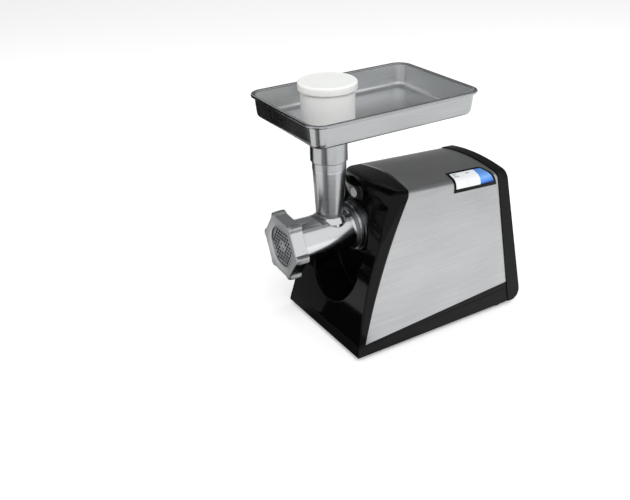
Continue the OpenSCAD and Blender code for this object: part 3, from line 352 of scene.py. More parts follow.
def mouldedPlastic(name, colour, roughness):
    # polypropylene or ABS moulding: waxy, lets a little light in, with faint flow marks about 35 mm wide
    material, tree, shader = newMaterial(name, Base_Color=linear(colour), Roughness=roughness, IOR=1.49,
                                         Subsurface_Weight=0.12, Subsurface_Scale=0.004)
    place = addNode(tree, "TexCoord")
    flow = addNode(tree, "TexNoise", {"Scale": 30.0, "Detail": 4.0}, {"Vector": (place, "Object")})
    addNode(tree, "ValToRGB", {"stops": [(0.3, roughness - 0.05), (0.7, roughness + 0.07)]},
            {"Fac": (flow, "Fac")}, ("Color", shader, "Roughness"))
    addNode(tree, "Bump", {"Strength": 0.03, "Distance": 0.0005}, {"Height": (flow, "Fac")},
            ("Normal", shader, "Normal"))
    return material


def plain(name, colour, roughness, metallic=0.0, grain=300.0, bumpStrength=0.08):
    # rubber, ink and the parts inside the housing: one colour with a fine uneven surface, 1 to 3 mm wide
    material, tree, shader = newMaterial(name, Base_Color=linear(colour), Roughness=roughness,
                                         Metallic=metallic)
    place = addNode(tree, "TexCoord")
    noise = addNode(tree, "TexNoise", {"Scale": grain, "Detail": 4.0}, {"Vector": (place, "Object")})
    addNode(tree, "Bump", {"Strength": bumpStrength, "Distance": 0.0003}, {"Height": (noise, "Fac")},
            ("Normal", shader, "Normal"))
    stops = [(0.3, max(roughness - 0.06, 0)), (0.7, min(roughness + 0.08, 1))]
    addNode(tree, "ValToRGB", {"stops": stops}, {"Fac": (noise, "Fac")}, ("Color", shader, "Roughness"))
    return material


glossBlack = polishedBlackAbs()
grainBlack = grainedBlackAbs()
sideSteel = brushedSteel("brushedStainless", "b7b8b9", 0.3, (700, 8, 700), 0.03)
traySteel = brushedSteel("drawnStainless", "a9abac", 0.2, (800, 12, 800), 0.012)
# a lighter copy of the tray's steel, for painted light on the inside faces, and duller
litInnerTraySteel = brushedSteel("litInnerDrawnStainless", "dcdedf", 0.34, (800, 12, 800), 0.012)
aluminium = castAluminium("buffedAluminium", "d2d4d6", 0.17)
satinAluminium = castAluminium("satinAluminium", "b0b2b4", 0.27)
# a darker copy of the head's aluminium: painted shade on the flange and on the socket in the housing's
# recess; rougher as cast
shadedAluminium = castAluminium("shadedAluminium", "76787a", 0.36, 0.05)
# a darker, rougher copy of the head's aluminium for the throat's foot: painted shade in the crease, which
# also dims its glints
shadedFilletAluminium = castAluminium("shadedFilletAluminium", "8e9092", 0.4)
blastedAluminium = castAluminium("blastedAluminium", "b9bbbc", 0.36, 0.3)
plateSteel = turnedSteel("turnedSteel", grindAxis, "a9abad", 0.28)
whitePolypropylene = mouldedPlastic("whitePolypropylene", "f0f0ee", 0.36)
whiteAbs = mouldedPlastic("whiteAbs", "eceef0", 0.22)
blueAbs = mouldedPlastic("blueAbs", "2f74d8", 0.12)
greyAbs = mouldedPlastic("greyAbs", "b4b6b8", 0.34)
softRubber = plain("mouldedRubber", "141414", 0.7)
satinBlack = grainedBlackAbs("satinBlackAbs", "0a0b0c", 0.3)
printInk = plain("padPrintInk", "8c8f92", 0.6)
nylon = plain("glassFilledNylon", "d8d4c6", 0.5)
iron = plain("laminatedIron", "6b6d70", 0.45, 1.0, 900.0)
copper = plain("enamelledCopper", "b4602c", 0.35, 1.0)
groundSteel = plain("groundSteel", "b5b7ba", 0.28, 1.0, 700.0, 0.04)
darkNylon = plain("blackNylon", "1c1c1e", 0.5)

finishes = [
    (("base", "rear_cover", "switch_bezel"), grainBlack),
    (("front_housing",), glossBlack),
    (("steel_cover",), sideSteel),
    (("hopper_tray",), traySteel),
    (("grinder_head", "head_socket"), aluminium),
    (("gearbox_front", "gearbox_rear", "motor_bracket", "auger"), aluminium),
    (("ring_nut",), blastedAluminium),
    (("cutting_plate", "cross_knife"), plateSteel),
    (("pusher", "pusher_lid", "auger_bush"), whitePolypropylene),
    (("button_reverse", "button_off"), whiteAbs),
    (("button_on",), blueAbs),
    (("lock_button",), greyAbs),
    (("feet", "cord_gland", "shaft_seal"), softRubber),
    (("output_gear", "layshaft_gear"), nylon),
    (("motor_stator", "rotor_core"), iron),
    (("field_coils", "commutator"), copper),
    (("switch_block", "brush_holders", "cooling_fan"), darkNylon),
    (("gearbox_screws", "layshaft_pin", "output_bearings", "motor_bearings", "motor_studs", "rotor_shaft",
      "layshaft_pinion", "output_shaft", "plate_key", "lock_latch", "lock_spring", "base_screws"),
     groundSteel),
]
for names, material in finishes:
    for name in names:
        piece = frame["nodes"][name]
        piece.data.materials.clear()
        piece.data.materials.append(material)
print("materials made:", len(bpy.data.materials))


# front housing: one skin from the steel's edge over the brow, down the face and into the recess
front = dict(footHalf=107.5, topHalf=72.35, footZ=8, topZ=256.5, fall=3.4, edgeR=15, crownR=337, bowFootY=-5,
             bowTop=(87, 240), bowR=572, padY=64, drumR=130, drumHalf=120, blendMm=18, bandBack=(12, 22),
             bandR=992, archRise=12, archFrom=237, pivotY=109.0, seamZ=25.9, seamRise=0.062, browFrom=236,
             browTo=250, browReach=19, sideReach=2.6, footReach=1.0, facetReach=9, facetFrom=168,
             facetFlat=0.85, recessLow=(121, 60), recessTop=(179, 44), floorY=66, rimR=1.6, floorR=2,
             socketR=40.2, lip=3.5, wallMm=2.2, centreZ=150)
# how many points go round each part of the outline, how many rows each part of the skin has, and how many
# rounds of correction bring an outline on to its surface
frontCounts = dict(side=70, top=60, corner=16, foot=60, sheet=8, brow=17, face=34, rim=6, wall=12, bend=8,
                   floor=10, rounds=8)


def arcCentre(a, b, radius):
    # centre of the circle through two points (y, z) that bulges forwards
    a, b = np.array(a, float), np.array(b, float)
    d = b - a
    length = np.linalg.norm(d)
    return (a + b) / 2 + math.sqrt(radius ** 2 - length ** 2 / 4) * np.array([d[1], -d[0]]) / length


def bowY(z):
    # the side view's bowed front: an arc of a large circle from the foot to the brow
    c = arcCentre((front["bowFootY"], front["footZ"]), front["bowTop"], front["bowR"])
    return c[0] - np.sqrt(front["bowR"] ** 2 - (z - c[1]) ** 2)


def faceY(x, z):
    # the bowed wedge, held back by an upright drum above the socket; the two meet in a smooth minimum
    across = np.minimum(np.abs(x), front["drumHalf"])
    drum = front["padY"] + front["drumR"] - np.sqrt(front["drumR"] ** 2 - across ** 2)
    wedge = bowY(z)
    k = front["blendMm"]
    near = np.maximum(k - np.abs(wedge - drum), 0) / k
    return np.minimum(wedge, drum) - near ** 3 * k / 6


def eggPoint(angle):
    # the point of the recess's outline seen from the housing's centre at this angle
    (z0, r0), (z1, r1) = front["recessLow"], front["recessTop"]
    tilt = math.asin((r0 - r1) / (z1 - z0))
    t1 = np.linspace(tilt, math.pi - tilt, 200)
    t0 = np.linspace(math.pi - tilt, 2 * math.pi + tilt, 300)
    ring = np.concatenate([np.stack([r1 * np.cos(t1), z1 + r1 * np.sin(t1)], -1),
                           np.stack([r0 * np.cos(t0), z0 + r0 * np.sin(t0)], -1)])
    around = np.unwrap(np.arctan2(ring[:, 1] - front["centreZ"], ring[:, 0]))
    reach = np.hypot(ring[:, 0], ring[:, 1] - front["centreZ"])
    order = np.argsort(around)
    radius = np.interp(angle, around[order], reach[order], period=2 * math.pi)
    return np.stack([radius * np.cos(angle), front["centreZ"] + radius * np.sin(angle)], -1)


def slopeOf():
    # how far a side leans inwards for each mm of height
    return (front["footHalf"] - front["topHalf"]) / (front["topZ"] - front["footZ"])


def cornerCentre():
    # centre of the long top edge, a set radius inside both the leaning side and the crown of the top
    slope, r, k = slopeOf(), front["edgeR"], front["topZ"] - front["crownR"]
    q = 1 + slope ** 2
    a = front["footHalf"] + slope * front["footZ"] - r * math.sqrt(q)
    b = a * slope + k
    z = (b + math.sqrt(b * b - q * (a * a + k * k - (front["crownR"] - r) ** 2))) / q
    return a - slope * z, z


def bodyOutline():
    # the housing's outline in its tilted frame, anticlockwise from the right foot: side, corner,
    # crown, corner and side
    slope = slopeOf()
    cx, cz = cornerCentre()
    k = front["topZ"] - front["crownR"]
    turn = math.atan2(cz - k, cx)
    a = np.linspace(math.atan(slope), turn, frontCounts["corner"])
    corner = np.stack([cx + front["edgeR"] * np.cos(a), cz + front["edgeR"] * np.sin(a)], -1)
    fall = math.radians(front["fall"])
    seam = front["seamZ"] + front["seamRise"] * bowY(front["seamZ"])
    lowZ = front["topZ"] + (bowY(seam) - front["pivotY"]) * math.sin(fall) \
        + (seam - front["topZ"]) * math.cos(fall)
    low = np.array([front["footHalf"] - slope * (lowZ - front["footZ"]), lowZ])
    side = low + (corner[0] - low) * np.linspace(0, 1, frontCounts["side"], endpoint=False)[:, None]
    half = np.concatenate([side, corner])
    a = np.linspace(turn, math.pi - turn, frontCounts["top"])[1:-1]
    crown = np.stack([front["crownR"] * np.cos(a), k + front["crownR"] * np.sin(a)], -1)
    return np.concatenate([half, crown, half[::-1] * (-1, 1)])


def untilt(x, y, z):
    # from the tilted frame, whose top falls towards the rear, to the upright one
    a = math.radians(front["fall"])
    dy, dz = y - front["pivotY"], z - front["topZ"]
    return np.stack([x + 0 * y, front["pivotY"] + dy * math.cos(a) + dz * math.sin(a),
                     front["topZ"] - dy * math.sin(a) + dz * math.cos(a)], -1)


def onSkin(outline, targetY):
    # walk each outline point along the tilted length until its upright y is targetY(x, z)
    y = np.full(len(outline), 60.0)
    for _ in range(frontCounts["rounds"]):
        p = untilt(outline[:, 0], y, outline[:, 1])
        y = y + (targetY(p[:, 0], p[:, 2]) - p[:, 1])
    return untilt(outline[:, 0], y, outline[:, 1])


def steelEdgeY(x, z):
    # the side arc of the steel's front edge, and its arch across the top
    topZ = front["bowTop"][1]
    lowBack, highBack = front["bandBack"]
    side = arcCentre((bowY(front["seamZ"]) + lowBack, front["seamZ"]), (bowY(topZ) + highBack, topZ),
                     front["bandR"])
    sideY = side[0] - np.sqrt(front["bandR"] ** 2 - (z - side[1]) ** 2)
    half = front["footHalf"] - slopeOf() * (topZ - front["footZ"]) - 3
    rise = front["archRise"]
    radius = (half ** 2 + rise ** 2) / 2 / rise
    archY = front["pivotY"] + rise - radius + np.sqrt(radius ** 2 - np.minimum(np.abs(x), half + 4) ** 2)
    return np.where(z > front["archFrom"], np.maximum(archY - 0.3, sideY), sideY)


def between(a, b, t):
    # rows part of the way from the row a to the row b
    return a[None] + (b - a)[None] * np.asarray(t, float)[:, None, None]


def buildFrontSkin():
    # each column runs from the steel's edge over the brow, down the face and into the recess, to the socket
    count, rows = frontCounts, []
    outline = bodyOutline()
    corner = onSkin(outline, faceY)                       # where skin and face would meet in a sharp edge
    rear = onSkin(outline, steelEdgeY)
    # the foot of the ring: a line along the seam with the base, from left to right
    footX = np.linspace(corner[-1, 0], corner[0, 0], count["foot"] + 2)[1:-1]
    seam = np.full(count["foot"], corner[0, 2])
    foot = np.stack([footX, faceY(footX, seam), seam], -1)
    corner = np.concatenate([corner, foot])
    rear = np.concatenate([rear, foot + (0, 8, 0)])
    isFoot = np.arange(len(corner)) >= len(outline)
    rim = eggPoint(np.arctan2(corner[:, 2] - front["centreZ"], corner[:, 0]))
    height = corner[:, 2]
    # how far the rounding runs back over the skin and down the face
    top = smoothStep(height, front["browFrom"], front["browTo"])
    facet = smoothStep(height, front["facetFrom"], front["browFrom"]) * (1 - top) * ~isFoot
    reach = front["sideReach"] + front["facetReach"] * facet + (front["browReach"] - front["sideReach"]) * top
    reach = np.where(isFoot, front["footReach"], reach)
    backwards = (rear - corner) / np.linalg.norm(rear - corner, axis=1)[:, None]
    start = corner + backwards * reach[:, None]
    inward = rim - corner[:, [0, 2]]
    length = np.linalg.norm(inward, axis=1)
    unit = inward / length[:, None]

    def onFace(distance):
        # the face's point this far in from the corner towards the rim
        xz = corner[:, [0, 2]] + unit * distance[:, None]
        return np.stack([xz[:, 0], faceY(xz[:, 0], xz[:, 1]), xz[:, 1]], -1)

    first = np.minimum(reach, length * 0.45)
    last = length - front["rimR"]
    end = onFace(first)
    rows += list(between(rear, start, np.linspace(0, 1, count["sheet"])))
    for t in np.linspace(0, 1, count["brow"])[1:-1]:
        curve, chord = pulled(start, corner, end, t), (1 - t) * start + t * end
        rows.append(curve + (chord - curve) * (front["facetFlat"] * facet)[:, None])
    for t in np.linspace(0, 1, count["face"]):
        rows.append(onFace(first + (last - first) * t))
    # over the rim into the recess: wall, floor, socket hole
    rimPoint = np.stack([rim[:, 0], faceY(rim[:, 0], rim[:, 1]), rim[:, 1]], -1)
    depth = front["floorY"] - rimPoint[:, 1]
    into = rimPoint + np.stack([0 * depth, np.minimum(front["rimR"], depth * 0.4), 0 * depth], -1)
    edge = rows[-1]
    for t in np.linspace(0, 1, count["rim"])[1:]:
        rows.append(pulled(edge, rimPoint, into, t))
    floorPoint = np.stack([rim[:, 0], np.full(len(rim), front["floorY"]), rim[:, 1]], -1)
    bend = np.minimum(front["floorR"], depth * 0.5)
    wallEnd = floorPoint - np.stack([0 * bend, bend, 0 * bend], -1)
    towards = np.array([0, front["recessTop"][0]]) - rim
    towards = towards / np.linalg.norm(towards, axis=1)[:, None]
    floorStart = floorPoint + np.stack([towards[:, 0] * bend, 0 * bend, towards[:, 1] * bend], -1)
    rows += list(between(into, wallEnd, np.linspace(0, 1, count["wall"])[1:]))
    for t in np.linspace(0, 1, count["bend"])[1:]:
        rows.append(pulled(wallEnd, floorPoint, floorStart, t))
    away = np.stack([floorStart[:, 0], floorStart[:, 2] - grindAxis[2]], -1)
    around = away / np.linalg.norm(away, axis=1)[:, None] * front["socketR"]
    hole = np.stack([around[:, 0], np.full(len(rim), front["floorY"]), grindAxis[2] + around[:, 1]], -1)
    rows += list(between(floorStart, hole, np.linspace(0, 1, count["floor"])[1:]))
    rows.append(hole + (0, front["lip"], 0))
    skin = gridSurface("frontSkin", np.array(rows), closeCols=True, sharpDegrees=None)
    wall = skin.modifiers.new("wall", "SOLIDIFY")
    wall.thickness = front["wallMm"] / 1000
    wall.offset = -1
    skin.data.materials.append(glossBlack)
    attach(skin, "housing")
    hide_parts("front_housing")


buildFrontSkin()
print("front housing made")


# soft edges on the CAD's own flat parts: (node, width of the edge in mm, material)
softParts = [
    ("steel_cover", 0.25, sideSteel), ("rear_cover", 0.8, grainBlack), ("base", 0.7, grainBlack),
    ("switch_bezel", 0.6, satinBlack), ("button_reverse", 0.6, whiteAbs), ("button_off", 0.6, whiteAbs),
    # the head's socket is darkened as painted shade in the housing's recess
    ("feet", 0.6, softRubber), ("cord_gland", 0.5, softRubber), ("head_socket", 0.5, shadedAluminium),
]
for node, width, material in softParts:
    softened(node, width, material)
print("edges softened:", len(softParts))


# grinding head: a polished skin over the casting, from under the nut to the flange and up the throat.
# The throat's foot flares out on to the barrel: it comes down from footZ to nearZ over flare mm and ends at
# nearR, and shoulderHalf is as far to either side of the barrel's middle as the skin runs
head = dict(over=0.2, frontY=-56, frontR=35.2, midR=33.4, rearY=41, rearR=30.8, flangeY=(50, 57), flangeR=38,
            boreR=31, asCastFrom=44, footR=21.5, footZ=212, topR=25.4, topZ=286.5, collarR=26, endZ=301.6,
            skinFrom=4.5, flare=5, nearR=26.5, nearZ=203, meetFrom=20.0, meetTo=27.0, shoulderHalf=31.8,
            columns=112, halvings=24)


def barrelRadius(y):
    # straight tapers from the nut to the front foot edge and on to the flange
    return np.interp(y, (head["frontY"], 0, head["rearY"]), (head["frontR"], head["midR"], head["rearR"])) \
        + head["over"]


def barrelTop(x, y):
    # height of the barrel's upper surface
    return grindAxis[2] + np.sqrt(np.maximum(barrelRadius(y) ** 2 - x ** 2, 0))


def throatRadius(z):
    # a straight taper from the foot to the top
    return head["over"] + np.interp(z, (head["footZ"], head["topZ"]), (head["footR"], head["topR"]))


def buildBarrel():
    # a profile from under the nut to behind the flange, swung round the grinding axis
    o, frontR, midR, rearR = head["over"], head["frontR"], head["midR"], head["rearR"]
    (y0, y1), r, endY = head["flangeY"], head["flangeR"] + head["over"], head["frontY"]
    barrel = turned("headBarrel", [
        (frontR - 0.6, endY - 1), (frontR + 0.1, endY), (frontR + 0.05, endY + 1.5), (midR + o, 0),
        (rearR + o, head["rearY"]), (rearR + 1.0, y0 - 4.5), (rearR + 3.2, y0 - 1.8 - o), (r - 1.5, y0 - o),
        (r, y0 + 1.2), (r, y1 - 1), (r - 1.6, y1 + o), (head["boreR"], y1 + o)],
        (0.5, 0, 30, 30, 5, 3, 1.0, 1.1, 0.8, 0.8), grindAxis, axis="y", segments=144, sharpDegrees=None)
    # the flange and its neck are left rougher as cast, and darker as painted shade
    y = readFaces(barrel.data, "center")[:, 1] * 1000 + originY
    twoFinishes(barrel, aluminium, shadedAluminium, y > head["asCastFrom"])
    return barrel


def buildThroat():
    # a profile from above the throat's foot to its collar's end, swung round the throat's line
    low, high, end = head["footZ"] + head["skinFrom"], head["topZ"], head["endZ"]
    c = head["collarR"] + head["over"]
    throat = turned("headThroat", [
        (throatRadius(low), low), (throatRadius(high - 1.2), high - 1.2), (throatRadius(high), high),
        (throatRadius(high), high + 0.9), (c - 0.5, high + 1.6), (c, high + 2.2), (c, high + 3.6),
        (c, end - 1.2), (c, end), (c - 1, end)],
        (0, 0, 0.3, 0.3, 0.4, 0.6, 0, 0, 0.3), throatAxis, segments=head["columns"], sharpDegrees=None)
    throat.data.materials.append(satinAluminium)
    return throat


def buildThroatFoot():
    # down the throat, over a small flare and out on to the barrel, one column for each direction
    turn = np.linspace(0, 2 * np.pi, head["columns"], endpoint=False)
    ux, uy = np.cos(turn), np.sin(turn)

    def top(reach):
        # the barrel's height at this reach from the throat's line, in each direction
        return barrelTop(reach * ux, throatAxis[1] + reach * uy)

    # where the flared throat meets the barrel, by halving
    low, high = np.full(len(turn), head["meetFrom"]), np.full(len(turn), head["meetTo"])
    for _ in range(head["halvings"]):
        middle = (low + high) / 2
        flareZ = np.interp(head["nearR"] - middle, (0, head["flare"]), (head["nearZ"], head["footZ"]))
        isUnder = (top(middle) > flareZ) | (middle < head["footR"])
        low, high = np.where(isUnder, middle, low), np.where(isUnder, high, middle)
    meet = np.maximum(low, head["footR"]) + head["over"] + 0.1
    corner = np.maximum(meet + 0.01, np.minimum(head["nearR"] + 0.25, meet + 0.02))
    flareTop = np.maximum(head["footZ"] + 1.0, top(meet) + 1.6)
    cornerZ = np.where(meet > head["nearR"], np.maximum(head["nearZ"] + 0.4, top(corner) + 0.3),
                       top(meet) + 0.31)
    out = np.minimum(meet + 5.0, head["shoulderHalf"] / np.maximum(np.abs(ux), 1e-3))
    skinZ = flareTop + head["skinFrom"]
    corners = [(throatRadius(skinZ), skinZ), (throatRadius(flareTop) + 0.02, flareTop), (corner, cornerZ),
               (corner + 0.15, top(corner + 0.15) + 0.02), (out, top(out) + 0.02),
               (out + 0.6, top(out + 0.6) - 0.4)]
    line = rounded([np.stack(pair, -1) for pair in corners], (2.6, 1.6, 1.6, 0.1), 6)
    reach, height = line[..., 0], line[..., 1]
    points = np.stack([reach * ux, throatAxis[1] + reach * uy, height], -1)
    foot = gridSurface("headFillet", points, closeCols=True, sharpDegrees=None)
    # painted shade in the crease where the throat meets the barrel
    foot.data.materials.append(shadedFilletAluminium)
    return foot


for piece in (buildBarrel(), buildThroat(), buildThroatFoot()):
    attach(piece, "head")
print("head skin made")


# ring nut: six ribs round a hexagon, polished flats and blasted ribs
nut = dict(frontY=-75, rearY=-53.5, flat=44.2, ribR=54, mouthR=31.5, seatR=41.2, lipY=-71.5, turn=55, ribs=6,
           ribHalf=(3.4, 8.9), blastedHalf=8.6)


def nutOutline(angle):
    # radius of a flat, how far a rib stands proud of it and degrees off the rib's middle, at each angle;
    # a rib falls off over its root
    sector = 360 / nut["ribs"]
    off = (np.degrees(angle) - nut["turn"] + sector / 2) % sector - sector / 2
    flat = nut["flat"] / np.cos(np.radians(sector / 2 - np.abs(off)))
    rib = 1 - smoothStep(np.abs(off), *nut["ribHalf"])
    return flat, (nut["ribR"] - flat) * rib ** 0.8, off


def buildNut():
    # rings at the same angles: circles in the bore, and outside the flats' radius plus a share of the rib
    sector = 360 / nut["ribs"]
    # angles lie closer together on the ribs' flanks
    near = np.concatenate([np.linspace(-sector / 2, -10, 8), np.linspace(-9.2, -3, 16), np.linspace(-2, 2, 4),
                           np.linspace(3, 9.2, 16), np.linspace(10, sector / 2, 8)[:-1]])
    angle = np.radians(np.concatenate([near + nut["turn"] + sector * k for k in range(nut["ribs"])]))
    flat, rib, _ = nutOutline(angle)
    f, r, m, seat, lip = nut["frontY"], nut["rearY"], nut["mouthR"], nut["seatR"], nut["lipY"]

    def ring(radius, y):
        # one round at y, with one radius or a radius for each angle
        radius = radius + 0 * angle
        return np.stack([radius * np.cos(angle), y + 0 * angle, grindAxis[2] + radius * np.sin(angle)], -1)

    # the bore, from the rear to the mouth: (radius, y)
    rows = [ring(radius, y) for radius, y in (
        (seat, r), (seat, lip), (m + 1, lip), (m, lip + 0.2), (m, f + 2.4), (m + 0.4, f + 1.6),
        (m + 1.4, f + 1.25), (m + 6, f + 0.65))]
    # the outside, from the mouth to the rear: (change of the flat's radius, share of the rib, y)
    walls = [(-2.6, 0.0, f + 0.1), (-1.0, 0.0, f), (-0.35, 0.3, f + 0.15), (0, 0.62, f + 0.8),
             (0, 0.8, f + 1.7), (0, 0.92, f + 3.0), (0, 0.985, f + 4.8), (0, 1.0, f + 6.6)]
    walls += [(0, 1.0, y) for y in np.linspace(f + 8.5, r - 5, 6)]
    walls += [(0, 0.985, r - 3.6), (0, 0.93, r - 2.2), (0, 0.84, r - 1.1), (-0.3, 0.66, r - 0.35),
              (-1.1, 0.4, r)]
    rows += [ring(flat + change + rib * share, y) for change, share, y in walls]
    rows.append(ring(seat + 0.6, r))
    piece = gridSurface("ringNut", np.array(rows), closeRows=True, closeCols=True, sharpDegrees=38)
    x, y, z = (readFaces(piece.data, "center") * 1000 + (0, originY, -grindAxis[2])).T
    off = nutOutline(np.arctan2(z, x))[2]
    isFlat = (np.abs(off) > nut["blastedHalf"]) & (np.hypot(x, z) > nut["flat"] - 0.5)
    twoFinishes(piece, blastedAluminium, aluminium, isFlat & (y > f + 0.6) & (y < r - 0.8))
    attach(piece, "nut")
    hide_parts("ring_nut")


buildNut()
print("ring nut made")


# hopper tray: one pressed sheet with a rolled rim, and its neck
tray = dict(halfW=101.5, halfL=146, corner=24, z=358, height=38, centreY=77.5, rimR=2.6, fold=9, lean=3.4,
            sheet=1.0, holeR=23, neckR=(26.3, 28.8), neckLow=302, neckFlare=3.2, perCorner=14, perEdge=10)


def trayRing(inset, z):
    # a rounded rectangle drawn inset mm inside the rim, at height z
    r = max(tray["corner"] - inset, 0.5)
    cx, cy = tray["halfW"] - inset - r, tray["halfL"] - inset - r
    corners = []
    for quarter, (sx, sy) in enumerate(((1, 1), (-1, 1), (-1, -1), (1, -1))):
        a = np.radians(np.linspace(0, 90, tray["perCorner"]) + 90 * quarter)
        corners.append(np.stack([sx * cx + r * np.cos(a), sy * cy + r * np.sin(a)], -1))
    ring = []
    for this, following in zip(corners, corners[1:] + corners[:1]):
        a, b = this[-1], following[0]
        ring += [this, a + (b - a) * np.linspace(0, 1, tray["perEdge"] + 2)[1:-1, None]]
    ring = np.concatenate(ring)
    return np.column_stack([ring[:, 0], ring[:, 1] + tray["centreY"], np.full(len(ring), z)])


def trayFloor(edge, z):
    # rings that close in from the wall's fold on the round hole over the throat, at height z
    toHole = edge[:, :2] - throatAxis[:2]
    hole = throatAxis[:2] + toHole / np.linalg.norm(toHole, axis=1)[:, None] * tray["holeR"]
    return [np.column_stack([edge[:, :2] + (hole - edge[:, :2]) * t, np.full(len(edge), z)])
            for t in np.linspace(0, 1, 14)[1:]]


def buildTray():
    # rounded rectangles whose inset and height follow the sheet's section, closed by the floor's rings
    z, r, sheet, fold = tray["z"], tray["rimR"], tray["sheet"], tray["fold"]
    top = z + tray["height"]
    wallTop, wallLow = 2 * r + 0.2, 2 * r + tray["lean"]
    # (inset, z) up the wall's outer side from the floor's fold, round the rim's roll and down the inside
    outer = rounded([(wallLow + 24, z), (wallLow, z), (wallTop, top - 2 * r + 0.4)], (fold,), 9)
    inner = rounded([(wallLow + 24, z + sheet), (wallLow + sheet + 0.1, z + sheet),
                     (wallTop + sheet, top - r)], (fold - 0.8,), 9)
    a = np.radians(np.linspace(-100, 170, 20))
    roll = np.stack([r - r * np.cos(a), top - r + r * np.sin(a)], -1)
    rows = [trayRing(inset, height) for inset, height in np.concatenate([outer, roll, inner[::-1]])]
    rows = trayFloor(rows[0], z)[::-1] + rows + trayFloor(rows[-1], z + sheet)
    piece = gridSurface("hopperTray", np.array(rows), closeRows=True, closeCols=True, sharpDegrees=60)
    # the inside is duller, and paler by painted light: faces below the rim that look up or towards the tray's
    # middle get a lighter copy of the steel
    centre, normal = readFaces(piece.data, "center"), readFaces(piece.data, "normal")
    toMiddle = toWorld((0, tray["centreY"], 0)) - centre
    toMiddle[:, 2] = 0.02
    isInside = ((normal * toMiddle).sum(axis=1) > 0) & (centre[:, 2] * 1000 < top - r)
    twoFinishes(piece, traySteel, litInnerTraySteel, isInside)
    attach(piece, "tray")
    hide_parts("hopper_tray")
    (inR, outR), low = tray["neckR"], tray["neckLow"]
    neck = turned("trayNeck", [
        (inR, z), (inR, low + 0.4), (inR + 0.5, low), (outR - 0.6, low), (outR, low + 0.7), (outR, z - 5),
        (outR + tray["neckFlare"], z + 0.02)],
        (0.3, 0.3, 0.3, 0.5, 0.5, 4), throatAxis, segments=112)
    neck.data.materials.append(traySteel)
    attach(neck, "tray")


buildTray()
print("tray made")


# pusher: a cup with a hollow stem, and its lid
pusher = dict(z=359.05, cupR=40.0, height=62, wall=2.5, stemInR=15.1, stemOutR=17.6, stemEnd=216.0)
lid = dict(r=43.7, skirt=9.6, rise=2.4, dish=0.5)


def buildPusher():
    # two profiles swung round the throat's line: the cup with its stem, and the lid
    z, r, w, end = pusher["z"], pusher["cupR"], pusher["wall"], pusher["stemEnd"]
    inR, outR, top = pusher["stemInR"], pusher["stemOutR"], z + pusher["height"]
    cup = turned("pusherCup", [
        (0.02, z + w), (inR, z + w), (inR, end + w), (0.02, end + w), (0.01, end), (outR, end), (outR, z),
        (r - 1, z), (r, z + 2), (r, top), (r - w, top), (r - w, z + w), (inR + 0.5, z + w), (inR, z + 2.4)],
        (0, 1, 0.5, 0, 0, 1.2, 0.8, 1.2, 1.2, 0.8, 0.8, 2, 0.2), throatAxis, segments=128)
    cup.data.materials.append(whitePolypropylene)
    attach(cup, "pusher")
    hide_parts("pusher")
    low, lidTop, lidR = top - lid["skirt"], top + lid["rise"], lid["r"]
    dished = lidTop - lid["dish"]
    cap = turned("pusherLid", [
        (0.02, top), (r - 1, top), (r + 0.2, top - 0.2), (r + 0.2, low), (lidR, low), (lidR, lidTop - 2.2),
        (lidR - 2.4, lidTop), (lidR - 6, lidTop - 0.35), (lidR - 9, dished), (0.02, dished)],
        (0, 0.3, 0.4, 0.7, 1.0, 1.4, 1.6, 1.6, 0), throatAxis, segments=128)
    cap.data.materials.append(whitePolypropylene)
    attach(cap, "lid")
    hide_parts("pusher_lid")


buildPusher()
print("pusher made")


# keys: soft edges, the blue one glossy with painted light and shade, and small generic words
# painted light and shade down the blue key, from its lower edge up: (share of the height, colour)
blueLightAndShade = [(0.16, "0a2a70"), (0.38, "14459c"), (0.46, "3f82dc"), (0.72, "79aef0"), (1.0, "4680cf")]


def shadedBlue(key):
    # glossy blue ABS with painted light and shade: pale on the upper half as a painted highlight, and
    # deepening as painted shade over the last third towards the key's lower edge
    material = mouldedPlastic("shadedBlueAbs", "2f74d8", 0.12)
    tree = material.node_tree
    heights = [vertex.co.z for vertex in key.data.vertices]
    place = addNode(tree, "TexCoord")
    split = addNode(tree, "SeparateXYZ", None, {"Vector": (place, "Object")})
    share = addNode(tree, "MapRange", {"From Min": min(heights), "From Max": max(heights)},
                    {"Value": (split, "Z")})
    stops = [(position, linear(colour)) for position, colour in blueLightAndShade]
    addNode(tree, "ValToRGB", {"stops": stops}, {"Fac": (share, "Result")},
            ("Color", tree.nodes["Principled BSDF"], "Base Color"))
    return material


blueKey = softened("button_on", 0.8, blueAbs)
# the blue key's colour is painted light and shade by height
blueKey.data.materials[0] = shadedBlue(blueKey)

# (name, text, body that it rides, x and y of its middle on the crowned top, size of the letters in mm)
words = [("wordRev", "REV", "key_reverse", 54.0, 216, 5.0),
         ("wordHold", "HOLD", "key_reverse", 59.8, 216, 4.2), ("wordOff", "OFF", "key_off", 55.5, 241, 5.0)]
ink = dict(keyProud=0.62, gap=0.05, thick=0.04, bold=0.12)      # mm over the crowned top, and of the letters


def skinPoint(x, y, proud):
    # the crowned top at this x, carried proud mm outwards
    k, r = front["topZ"] - front["crownR"], front["crownR"] + proud
    return untilt(np.array([x]), np.array([y]), np.array([k + math.sqrt(r * r - x * x)]))[0]


